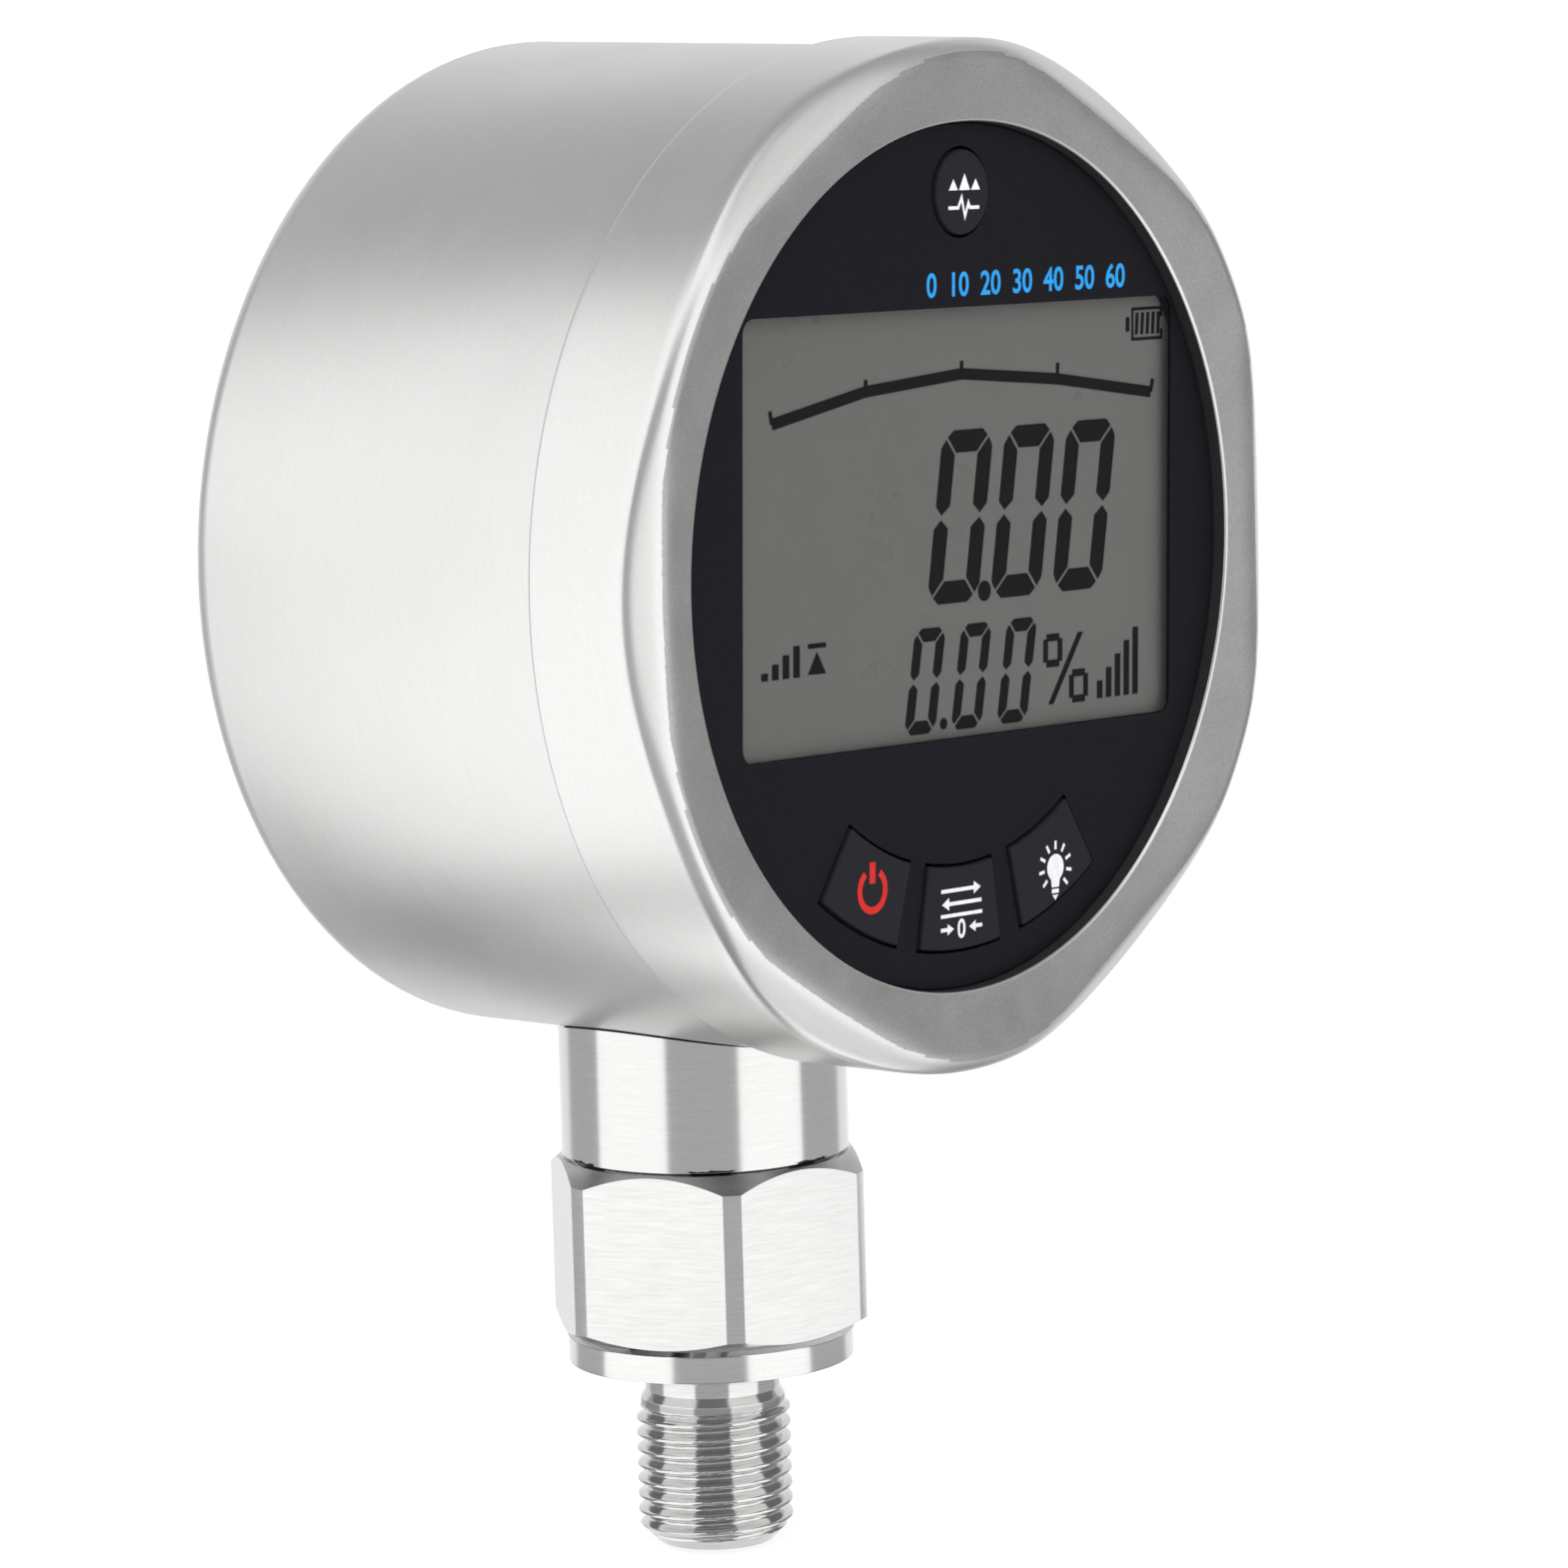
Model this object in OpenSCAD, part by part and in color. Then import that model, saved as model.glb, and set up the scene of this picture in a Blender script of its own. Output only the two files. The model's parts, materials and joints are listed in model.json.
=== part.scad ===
// Digital pressure gauge with a bottom stem. The origin is the centre of the pressure port's mouth
// at the tip of the stem, +Z runs up the stem and the dial faces -Y. Millimetres.

/* [Case] */
// Outside diameter of the steel case
case_d = 83.6; // [76:0.2:92]
// Thickness of the case's wall and rear face
case_wall = 1.2; // [1:0.1:1.4]
// Outside radius of the corner between the case's wall and its rear face
case_corner_r = 2.4; // [2:0.2:5]
// From the stem's axis forward to the seam between the case and the bezel
seam_forward = 19; // [18:0.5:21]
// From the stem's axis back to the case's rear face
case_back = 18.5; // [18:0.5:24]
// Turn of the dial in its case, as the bezel drags it round when it is tightened
dial_turn = -2.5; // [-4:0.5:4]

/* [Bezel] */
// How far the bezel stands out from the case's wall
bezel_step = 0.7; // [0.3:0.1:1]
// Length of the bezel from the seam to its front rim
bezel_length = 12; // [11.5:0.5:14]
// Radius of the bezel's front corner
bezel_corner_r = 1.65; // [1.2:0.05:2]
// Width of the bezel's front face, from its wall in to the opening
rim_w = 6.85; // [6.4:0.05:7]
// How far the opening's edge lies behind the front rim
bezel_dish = 0.8; // [0.5:0.1:1]
// Thickness of the lip that holds the panel
lip_t = 1.5; // [1.2:0.1:2]
// Number of spanner flats ground on the front corner
flat_count = 6; // [4:2:8]
// Angle between a spanner flat and the front rim
flat_tilt = 33; // [30:1:40]
// Width that a spanner flat takes from the front rim, measured in from the bezel's wall
flat_inset = 3.5; // [3:0.05:3.6]

/* [Front panel] */
// How far the panel's face lies behind the opening's edge
panel_recess = 1.2; // [0.2:0.1:1.4]
// Thickness of the panel
panel_t = 2.6; // [2.4:0.1:3]
// Distance at each side between the window and the opening's edge
window_margin = 7.1; // [7:0.1:10]
// Height of the window as a share of its width
window_h_share = 0.62; // [0.55:0.01:0.62]
// Sideways place of the window's centre from the dial's centre
window_x = 0.6; // [0:0.1:0.8]
// Height of the window's centre above the dial's centre
window_z = 2.8; // [2:0.1:3]
// Corner radius of the window
window_corner_r = 1.3; // [0.6:0.1:1.5]
// Thickness of the panel in front of the lens
window_skin = 0.2; // [0.2:0.05:0.6]
// Thickness of the window lens
lens_t = 0.8; // [0.6:0.1:1.3]

/* [Keys] */
// Distance that a key travels when pressed
key_travel = 0.5; // [0.3:0.1:0.6]
// How far a key stands out from the panel at rest
key_proud = 0.3; // [0.2:0.05:0.5]
// Clearance round a key in its cut-out
key_gap = 0.25; // [0.2:0.05:0.3]
// Radius of the round key above the window
round_key_r = 3.5; // [3.2:0.1:3.8]
// Distance between the round key and the opening's edge
round_key_margin = 2.25; // [2:0.05:2.5]
// Height of the three lower keys, along the dial's radius
lower_key_h = 6.9; // [6:0.1:7.2]
// Distance between the lower keys and the opening's edge
lower_key_margin = 3.3; // [2.6:0.05:3.6]
// Half of the angle that a lower key spans at the dial's centre
lower_key_half_angle = 9.6; // [8.5:0.1:9.8]
// Angle between the centres of neighbouring lower keys
lower_key_pitch = 24.7; // [24:0.1:26]

/* [Display and board] */
// Thickness of the display's two glass plates together
lcd_t = 2.2; // [1.8:0.1:2.4]
// Border of the display's glass round the window
lcd_border = 1.15; // [0.9:0.05:1.2]
// Thickness of the backlight, which is the height of the display over the board
backlight_t = 4.3; // [3.8:0.1:5]
// Thickness of the circuit boards
board_t = 1.6; // [1:0.1:2]
// Height of a key switch's housing over the board
switch_h = 2.2; // [2:0.1:2.3]
// Side of a key switch's housing
switch_side = 5; // [4.5:0.1:6]
// Diameter of a switch's plunger
plunger_d = 2.8; // [2.4:0.1:3]

/* [Batteries] */
// Number of cells side by side
cell_count = 3; // [2:1:3]
// Diameter of a cell
cell_d = 10.5; // [10:0.1:10.6]
// Length of a cell over its button
cell_l = 44.5; // [43:0.1:45]
// Distance between the centres of neighbouring cells
cell_pitch = 11.6; // [11.4:0.1:12]
// Wall of the battery tray
tray_wall = 1.2; // [1:0.1:1.6]

/* [Stem] */
// Major diameter of the process thread
thread_d = 13.157; // [12.9:0.001:13.3]
// Length of the process thread from the tip
thread_l = 11.5; // [10:0.1:12]
// Diameter of the pressure port
port_d = 5; // [3:0.1:5.5]
// Diameter of the groove above the thread's run-out
undercut_d = 11.45; // [11:0.05:11.8]
// Height of the collar's sealing face over the tip
collar_z = 16; // [15.6:0.1:17]
// Diameter of the collar
collar_d = 24.3; // [23:0.1:25]
// Thickness of the collar
collar_t = 2.8; // [2:0.1:3.2]
// Width across the flats of the hexagon
hex_af = 25; // [24:0.5:27]
// Height of the hexagon
hex_h = 15; // [12:0.1:16]
// Turn of the hexagon about the stem
hex_turn = -11.5; // [-30:0.5:30]
// Diameter of the neck between the hexagon and the case
neck_d = 24.5; // [22:0.1:24.8]
// Length of the neck from its shoulder to the underside of the case
neck_l = 10.1; // [9:0.1:16]
// Wall of the neck with its clearance over the spigot inside
neck_wall = 2.25; // [2.25:0.05:2.6]

/* [Hidden] */
$fn = 96;

// Overrun of every cut
cut = 1;
// Steps in a quarter round
round_steps = 8;
// Clearance between pieces that are screwed or pushed together
seat_gap = 0.1;

// Radii and depths of the case. In the dial's frame z is the distance in front of the stem's axis.
case_r = case_d / 2;
case_in_r = case_r - case_wall;
case_inner_corner_r = case_corner_r - case_wall;
bezel_r = case_r + bezel_step;
rim_z = seam_forward + bezel_length;
opening_r = bezel_r - rim_w;
lip_front_z = rim_z - bezel_dish;
lip_back_z = lip_front_z - lip_t;

// The threaded spigot that the bezel screws on
spigot_step = 1.85;
spigot_wall = 1.7;
spigot_root = 3;
bezel_bore_clearance = 0.15;
front_spigot_r = case_r - spigot_step;
front_spigot_in_r = front_spigot_r - spigot_wall;
bezel_bore_r = front_spigot_r + bezel_bore_clearance;

// The panel and the gasket between its flange and the spigot
panel_gap = 0.2;
gasket_t = 1;
panel_r = opening_r - panel_gap;
panel_face_z = lip_front_z - panel_recess;
panel_back_z = panel_face_z - panel_t;
flange_r = front_spigot_r;
gasket_back_z = panel_back_z - gasket_t;

// The O-ring between the bezel and the case's shoulder
seal_cord_d = 1.3;
bezel_seal_r = front_spigot_r + seat_gap + seal_cord_d / 2;
bezel_seal_z = seam_forward + seat_gap + seal_cord_d / 2;
counterbore_r = bezel_seal_r + seal_cord_d / 2 + seat_gap;
counterbore_l = seal_cord_d + 2 * seat_gap;

// The window, the lens in its rebate and the display behind it
window_w = 2 * (opening_r - window_margin);
window_h = window_w * window_h_share;
lens_ledge = 1;
lens_rim = 0.5;
lens_front_z = panel_face_z - window_skin;
lens_back_z = lens_front_z - lens_t;
lens_w = window_w + 2 * lens_ledge;
lens_h = window_h + 2 * lens_ledge;
lens_clip_r = panel_r - lens_rim;
lcd_w = window_w + 2 * lcd_border;
lcd_h = window_h + 2 * lcd_border;
lcd_clearance = 0.15;
lcd_ledge = 1.1;
lcd_gap = 0.1;
lcd_front_z = lens_back_z - lcd_gap;
lcd_back_z = lcd_front_z - lcd_t;
board_front_z = lcd_back_z - backlight_t;
board_back_z = board_front_z - board_t;
strip_w = 1.8;
strip_inset = 3.4;
backlight_inset = 1.4;
backlight_gap = 0.3;
led_tab_w = 1.2;
led_tab_h = 12;

// The main board and the bosses that carry it
board_clearance = 0.8;
board_r = front_spigot_in_r - board_clearance;
boss_r = 2.4;
boss_edge = 4.05;
boss_circle_r = board_r - boss_edge;
boss_angles = [51, 129, 221.4, 318.6];
screw_d = 1.9;
screw_hole_clearance = 0.2;
screw_head_d = 3.8;
screw_head_t = 1.4;
screw_depth = 3.6;
screw_slot_w = 0.6;
screw_slot_depth = 0.6;

// The keys
key_flange_w = 0.5;
key_flange_t = 1;
post_l = 0.7;
plunger_gap = 0.25;
plunger_end_gap = 0.3;
well_floor = 0.6;
key_top_z = panel_face_z + key_proud;
key_flange_z = panel_back_z - seat_gap;
key_back_z = key_flange_z - key_flange_t;
plunger_top_z = key_back_z - post_l;
well_floor_z = board_front_z + well_floor;
plunger_end_z = well_floor_z + key_travel + plunger_end_gap;
round_key_centre = opening_r - round_key_margin - round_key_r;
lower_key_out = opening_r - lower_key_margin;
lower_key_in = lower_key_out - lower_key_h;
lower_key_centre = (lower_key_out + lower_key_in) / 2;

// Chips on the back of the board: width, height, thickness, sideways place and height of its centre
chip_main = [10, 10, 1.4, -2, 12];
chip_converter = [5, 6.4, 1.2, 12, -22];
chip_memory = [5, 4, 1.2, -13, -20];
chip_crystal = [8, 3.2, 1.8, 11, 13];

// The battery tray behind the board
cell_gap = 0.2;
cell_button_r = 1.9;
cell_button_l = 1.2;
cell_edge_r = 0.8;
plate_t = 0.4;
plate_side = 7;
spring_l = 3;
spring_t = 0.35;
spring_w = 5;
spring_foot_share = 1;
spring_knee_share = 0.6;
spring_crown_share = 0.2;
standoff_l = 2.8;
standoff_af = 4.5;
ear_w = 6.4;
ear_h = 8;
tray_front_z = board_back_z - standoff_l;
trough_r = cell_d / 2 + cell_gap;
cell_axis_z = tray_front_z - tray_wall - trough_r;
tray_back_z = cell_axis_z - cell_d / 2;
tray_w = (cell_count - 1) * cell_pitch + 2 * trough_r + 2 * tray_wall;
cavity_h = cell_l + plate_t + spring_l;
tray_h = cavity_h + 2 * tray_wall;
standoff_x = tray_w / 2 + ear_w / 2;

// The stem from the tip up
thread_r = thread_d / 2;
tip_chamfer = 1.65;
runout_step = 0.43;
runout_w = 1.1;
undercut_slope = 0.7;
hex_z = collar_z + collar_t;
hex_top_z = hex_z + hex_h;
hex_in_r = hex_af / 2;
hex_low_chamfer_angle = 30;
hex_top_chamfer_angle = 40;
hex_corner_share = 1.12;
hex_corner_r = hex_in_r * hex_corner_share;
hex_face_share = 0.985;
neck_r = neck_d / 2;
neck_shoulder_h = 0.3;
neck_shoulder_in = 0.9;
neck_bottom_z = hex_top_z + neck_shoulder_h;
neck_bore_clearance = 0.15;
neck_case_gap = 0.15;
spigot_r = neck_r - neck_wall;
stem_hole_r = spigot_r + neck_bore_clearance;
case_bottom_z = neck_bottom_z + neck_l;
dial_z = case_bottom_z + case_r;
case_floor_z = case_bottom_z + case_wall;
neck_seal_d = 1.5;
neck_seal_r = stem_hole_r + neck_seal_d / 2;
neck_seal_z = case_bottom_z - neck_case_gap - seat_gap - neck_seal_d / 2;
neck_seal_seat_r = neck_seal_r + neck_seal_d / 2 + seat_gap;

// The saddle washer and the nut inside the case
washer_w = 2.6;
washer_t = 3.4;
nut_w = 2.75;
nut_t = 3.5;
spigot_rise = 0.7;
washer_r = spigot_r + washer_w;
nut_in_r = spigot_r + nut_w;
washer_top_z = case_floor_z + washer_t;
nut_top_z = washer_top_z + nut_t;
spigot_top_z = nut_top_z + spigot_rise;

// The sensor in the spigot's chamber
chamber_wall = 2;
chamber_depth = 15;
sensor_fit = 0.1;
sensor_seal_cord_d = 1.8;
sensor_h = 5.5;
sensor_head_h = 1.4;
sensor_head_step = 3;
retainer_h = 4;
retainer_w = 2.6;
retainer_slot_w = 2;
retainer_slot_depth = 1.2;
sensor_board_gap = 0.4;
sensor_board_t = 1.2;
chamber_r = spigot_r - chamber_wall;
sensor_r = chamber_r - sensor_fit;
sensor_head_r = chamber_r - sensor_head_step;
sensor_seal_r = sensor_r - sensor_seal_cord_d / 2 - seat_gap;
retainer_in_r = sensor_r - retainer_w;
sensor_board_r = chamber_r - sensor_board_gap;
chamber_z = spigot_top_z - chamber_depth;
sensor_z = chamber_z + sensor_seal_cord_d + seat_gap;
retainer_z = sensor_z + sensor_h;
sensor_board_z = retainer_z + retainer_h;
plug_w = 9;
plug_d = 4;
plug_h = 3.4;
plug_z = sensor_board_z + sensor_board_t;
ribbon_w = 7;
ribbon_t = 0.3;
ribbon_arch = 2.2;
ribbon_steps = 24;
ribbon_z = plug_z + plug_h / 2;
socket_w = 10;
socket_h = 3.6;
socket_t = 2.4;

// Puts a piece drawn in the dial's frame in its place: x to the right, y up, z to the front
module on_dial() {
    translate([0, 0, dial_z]) rotate([90, 0, 0]) rotate([0, 0, dial_turn]) children();
}

// Points of an arc round a centre
function arc(centre, r, from, to) = [for (i = [0:round_steps])
    let (a = from + (to - from) * i / round_steps) centre + r * [cos(a), sin(a)]];

// A ring of rectangular section round the z axis
module ring(r_out, r_in, z_low, z_high) {
    translate([0, 0, z_low]) difference() {
        cylinder(r = r_out, h = z_high - z_low);
        translate([0, 0, -cut]) cylinder(r = r_in, h = z_high - z_low + 2 * cut);
    }
}

// An O-ring round the z axis
module o_ring(r, z, cord_d) {
    translate([0, 0, z]) rotate_extrude() translate([r, 0]) circle(d = cord_d, $fn = 32);
}

// A plate with rounded corners, centred on the window
module window_plate(w, h, corner_r, z_low, z_high) {
    translate([window_x, window_z, z_low]) linear_extrude(z_high - z_low) {
        square([w - 2 * corner_r, h], center = true);
        square([w, h - 2 * corner_r], center = true);
        for (side = [-1, 1], end = [-1, 1])
            translate([side * (w / 2 - corner_r), end * (h / 2 - corner_r)])
                circle(r = corner_r, $fn = 32);
    }
}

// A block centred on the window
module window_block(w, h, z_low, z_high) {
    translate([window_x - w / 2, window_z - h / 2, z_low]) cube([w, h, z_high - z_low]);
}

// Copies a piece to the four bosses
module at_bosses() {
    for (a = boss_angles) translate([boss_circle_r * cos(a), boss_circle_r * sin(a), 0]) children();
}

// The rear shell: a steel cup with a threaded spigot at its open front and a hole for the stem
module rear_case() {
    inner_back_z = -case_back + case_wall;
    color("gainsboro") difference() {
        on_dial() rotate_extrude() polygon(concat(
            [[0, -case_back]],
            arc([case_r - case_corner_r, -case_back + case_corner_r], case_corner_r, -90, 0),
            [[case_r, seam_forward], [front_spigot_r, seam_forward], [front_spigot_r, gasket_back_z],
                [front_spigot_in_r, gasket_back_z], [front_spigot_in_r, seam_forward - spigot_root],
                [case_in_r, seam_forward - spigot_root - case_in_r + front_spigot_in_r]],
            arc([case_in_r - case_inner_corner_r, inner_back_z + case_inner_corner_r],
                case_inner_corner_r, 0, -90),
            [[0, inner_back_z]]));
        cylinder(r = stem_hole_r, h = dial_z);
    }
}

// The bezel: a turned ring with a dished front, a rounded corner and ground spanner flats
module bezel_ring() {
    corner_in_r = bezel_r - bezel_corner_r;
    color("silver") on_dial() difference() {
        rotate_extrude() polygon(concat(
            [[counterbore_r, seam_forward], [bezel_r, seam_forward]],
            arc([corner_in_r, rim_z - bezel_corner_r], bezel_corner_r, 0, 90),
            [[opening_r, lip_front_z], [opening_r, lip_back_z], [bezel_bore_r, lip_back_z],
                [bezel_bore_r, seam_forward + counterbore_l],
                [counterbore_r, seam_forward + counterbore_l]]));
        for (i = [0:flat_count - 1]) rotate([0, 0, i * 360 / flat_count - dial_turn])
            translate([bezel_r - flat_inset, 0, rim_z]) rotate([0, flat_tilt, 0])
                translate([-bezel_r, -bezel_r, 0]) cube([2 * bezel_r, 2 * bezel_r, bezel_length]);
    }
}

// The O-ring that closes the seam between the bezel and the case
module bezel_seal() {
    color("dimgray") on_dial() o_ring(bezel_seal_r, bezel_seal_z, seal_cord_d);
}

// The flat gasket between the panel's flange and the spigot's end
module panel_gasket() {
    color("dimgray") on_dial()
        ring(front_spigot_r - seat_gap, front_spigot_in_r + seat_gap, gasket_back_z, panel_back_z);
}

// Outline of a lower key, centred below the dial's centre and grown by a clearance
module lower_key_outline(grow) {
    apex = grow / sin(lower_key_half_angle);
    reach = 2 * lower_key_out;
    intersection() {
        difference() {
            circle(r = lower_key_out + grow);
            circle(r = lower_key_in - grow);
        }
        polygon([[0, apex], [reach * sin(lower_key_half_angle), apex - reach * cos(lower_key_half_angle)],
            [-reach * sin(lower_key_half_angle), apex - reach * cos(lower_key_half_angle)]]);
    }
}

// A slice of a lower key or of its cut-out
module lower_key_slice(turn, grow, z_low, z_high) {
    rotate([0, 0, turn]) translate([0, 0, z_low]) linear_extrude(z_high - z_low) lower_key_outline(grow);
}

// A slice of the round key or of its cut-out
module round_key_slice(grow, z_low, z_high) {
    translate([0, round_key_centre, z_low]) cylinder(r = round_key_r + grow, h = z_high - z_low);
}

// The black panel: a raised face in the opening, a flange under the lip and bosses for the board
module front_panel() {
    pilot_r = screw_d / 2 + seat_gap / 2;
    color("#222127") on_dial() difference() {
        union() {
            translate([0, 0, panel_back_z]) cylinder(r = panel_r, h = panel_t);
            translate([0, 0, panel_back_z]) cylinder(r = flange_r, h = lip_back_z - panel_back_z);
            at_bosses() translate([0, 0, board_front_z])
                cylinder(r = boss_r, h = panel_back_z - board_front_z);
        }
        window_plate(window_w, window_h, window_corner_r, lens_front_z - cut, panel_face_z + cut);
        intersection() {
            window_plate(lens_w, lens_h, window_corner_r, panel_back_z - cut, lens_front_z);
            translate([0, 0, panel_back_z - cut]) cylinder(r = lens_clip_r + seat_gap, h = panel_t + cut);
        }
        window_block(lcd_w + 2 * lcd_clearance, lcd_h + 2 * lcd_clearance, panel_back_z - cut, lens_back_z);
        round_key_slice(key_gap, panel_back_z - cut, panel_face_z + cut);
        for (i = [-1:1])
            lower_key_slice(i * lower_key_pitch, key_gap, panel_back_z - cut, panel_face_z + cut);
        at_bosses() translate([0, 0, board_front_z - cut]) cylinder(r = pilot_r, h = screw_depth + cut);
    }
}

// The clear lens that is glued behind the window
module window_lens() {
    color([0.8, 0.84, 0.82, 0.4]) on_dial() intersection() {
        window_plate(lens_w - 2 * seat_gap, lens_h - 2 * seat_gap, window_corner_r,
            lens_back_z, lens_front_z);
        translate([0, 0, lens_back_z]) cylinder(r = lens_clip_r, h = lens_t);
    }
}

// The display: a front glass and a taller rear glass with its contact ledges
module lcd_glass() {
    color("#6E706C") on_dial() {
        window_block(lcd_w, lcd_h - 2 * lcd_ledge, lcd_front_z - lcd_t / 2, lcd_front_z);
        window_block(lcd_w, lcd_h, lcd_back_z, lcd_front_z - lcd_t / 2);
    }
}

// The light guide behind the display, with a lamp tab at each side
module lcd_backlight() {
    guide_w = lcd_w - 2 * backlight_inset - 2 * led_tab_w;
    guide_h = lcd_h - 2 * strip_inset;
    color("white") on_dial() {
        window_block(guide_w, guide_h, board_front_z, lcd_back_z);
        window_block(guide_w + 2 * led_tab_w, led_tab_h, board_front_z, lcd_back_z);
    }
}

// The two rubber contact strips between the board and the display's ledges
module lcd_contact_strips() {
    length = lcd_w - 2 * strip_inset;
    offset_z = (lcd_h - strip_inset) / 2 + backlight_gap;
    color("lightpink") on_dial() for (end = [-1, 1])
        translate([window_x - length / 2, window_z + end * offset_z - strip_w / 2, board_front_z])
            cube([length, strip_w, backlight_t]);
}

// The round main board
module main_board() {
    hole_r = screw_d / 2 + screw_hole_clearance;
    color("darkgreen") on_dial() difference() {
        translate([0, 0, board_back_z]) cylinder(r = board_r, h = board_t);
        at_bosses() translate([0, 0, board_back_z - cut]) cylinder(r = hole_r, h = board_t + 2 * cut);
    }
}

// One chip on the back of the board
module chip(size) {
    translate([size[3] - size[0] / 2, size[4] - size[1] / 2, board_back_z - size[2]])
        cube([size[0], size[1], size[2]]);
}

// The controller, the converter, the memory and the crystal
module board_chips() {
    color("#1C1C20") on_dial()
        for (size = [chip_main, chip_converter, chip_memory, chip_crystal]) chip(size);
}

// A pan-head screw with a slot. Its head's seat is at z = 0 and its shank points to +z.
module screw(length) {
    difference() {
        union() {
            translate([0, 0, -screw_head_t]) cylinder(d = screw_head_d, h = screw_head_t);
            cylinder(d = screw_d, h = length);
        }
        translate([-screw_head_d / 2, -screw_slot_w / 2, -screw_head_t - cut])
            cube([screw_head_d, screw_slot_w, screw_slot_depth + cut]);
    }
}

// The four screws that hold the board on the panel's bosses
module board_screws() {
    color("silver") on_dial() at_bosses()
        translate([0, 0, board_back_z]) screw(board_t + screw_depth - seat_gap);
}

// Places of the four switches: the round key's and the three lower keys'
module at_switches() {
    translate([0, round_key_centre, 0]) children();
    for (i = [-1:1]) rotate([0, 0, i * lower_key_pitch]) translate([0, -lower_key_centre, 0]) children();
}

// The housings of the four key switches, each with a well for its plunger
module switch_housings() {
    color("#3A3A3E") on_dial() at_switches() difference() {
        translate([-switch_side / 2, -switch_side / 2, board_front_z])
            cube([switch_side, switch_side, switch_h]);
        translate([0, 0, well_floor_z]) cylinder(r = plunger_d / 2 + plunger_gap, h = switch_h);
    }
}

// A switch's plunger, which moves with its key
module plunger() {
    color("gold") translate([0, 0, plunger_end_z])
        cylinder(d = plunger_d, h = plunger_top_z - plunger_end_z);
}

// The round key: cap, retaining flange and post
module key_peak() {
    color("#2C2C33") on_dial() {
        round_key_slice(0, key_back_z, key_top_z);
        round_key_slice(key_flange_w, key_back_z, key_flange_z);
        translate([0, round_key_centre, plunger_top_z]) cylinder(d = plunger_d, h = post_l);
    }
}

// A lower key: cap, retaining flange and post
module lower_key(turn) {
    color("#2C2C33") on_dial() {
        lower_key_slice(turn, 0, key_back_z, key_top_z);
        lower_key_slice(turn, key_flange_w, key_back_z, key_flange_z);
        rotate([0, 0, turn]) translate([0, -lower_key_centre, plunger_top_z])
            cylinder(d = plunger_d, h = post_l);
    }
}

module key_power() { lower_key(-lower_key_pitch); }
module key_unit() { lower_key(0); }
module key_light() { lower_key(lower_key_pitch); }

// The plunger of a lower key's switch
module lower_plunger(turn) {
    on_dial() rotate([0, 0, turn]) translate([0, -lower_key_centre, 0]) plunger();
}

module plunger_peak() { on_dial() translate([0, round_key_centre, 0]) plunger(); }
module plunger_power() { lower_plunger(-lower_key_pitch); }
module plunger_unit() { lower_plunger(0); }
module plunger_light() { lower_plunger(lower_key_pitch); }

// The brass standoffs between the board and the battery tray
module tray_standoffs() {
    standoff_r = standoff_af / 2 / cos(30);
    color("goldenrod") on_dial() for (side = [-1, 1])
        translate([side * standoff_x, 0, tray_front_z]) difference() {
            cylinder(r = standoff_r, h = standoff_l, $fn = 6);
            translate([0, 0, -cut]) cylinder(d = screw_d + seat_gap, h = standoff_l + 2 * cut);
        }
}

// The two screws that hold the tray on its standoffs
module tray_screws() {
    color("silver") on_dial() for (side = [-1, 1])
        translate([side * standoff_x, 0, tray_front_z - tray_wall]) screw(tray_wall + standoff_l - seat_gap);
}

// The battery tray: a cradle for each cell, open to the rear, with an ear at each side
module battery_tray() {
    color("#26262A") on_dial() difference() {
        union() {
            translate([-tray_w / 2, -tray_h / 2, tray_back_z])
                cube([tray_w, tray_h, tray_front_z - tray_back_z]);
            translate([-tray_w / 2 - ear_w, -ear_h / 2, tray_front_z - tray_wall])
                cube([tray_w + 2 * ear_w, ear_h, tray_wall]);
        }
        for (i = [0:cell_count - 1]) translate([(i - (cell_count - 1) / 2) * cell_pitch, 0, cell_axis_z]) {
            rotate([90, 0, 0]) cylinder(r = trough_r, h = cavity_h, center = true);
            translate([-trough_r, -cavity_h / 2, -trough_r - cut])
                cube([2 * trough_r, cavity_h, trough_r + cut]);
        }
        for (side = [-1, 1]) translate([side * standoff_x, 0, tray_front_z - tray_wall - cut])
            cylinder(r = screw_d / 2 + screw_hole_clearance, h = tray_wall + 2 * cut);
    }
}

// Puts a piece at cell i: z runs from the spring's wall to the plate's wall
module at_cell(i) {
    on_dial() translate([(i - (cell_count - 1) / 2) * cell_pitch, 0, cell_axis_z])
        rotate([i % 2 == 0 ? -90 : 90, 0, 0]) translate([0, 0, -cavity_h / 2]) children();
}

// One cell, its button towards the contact plate
module battery(i) {
    can_l = cell_l - cell_button_l;
    color("steelblue") at_cell(i) translate([0, 0, spring_l]) rotate_extrude() polygon(concat(
        [[0, 0]], arc([cell_d / 2 - cell_edge_r, cell_edge_r], cell_edge_r, -90, 0),
        arc([cell_d / 2 - cell_edge_r, can_l - cell_edge_r], cell_edge_r, 0, 90),
        [[cell_button_r, can_l], [cell_button_r, cell_l], [0, cell_l]]));
}

module battery_1() { battery(0); }
module battery_2() { battery(1); }
module battery_3() { battery(2); }

// The flat contacts at the cells' buttons
module contact_plates() {
    color("silver") for (i = [0:cell_count - 1]) at_cell(i)
        translate([-plate_side / 2, -plate_side / 2, cavity_h - plate_t])
            cube([plate_side, plate_side, plate_t]);
}

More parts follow.
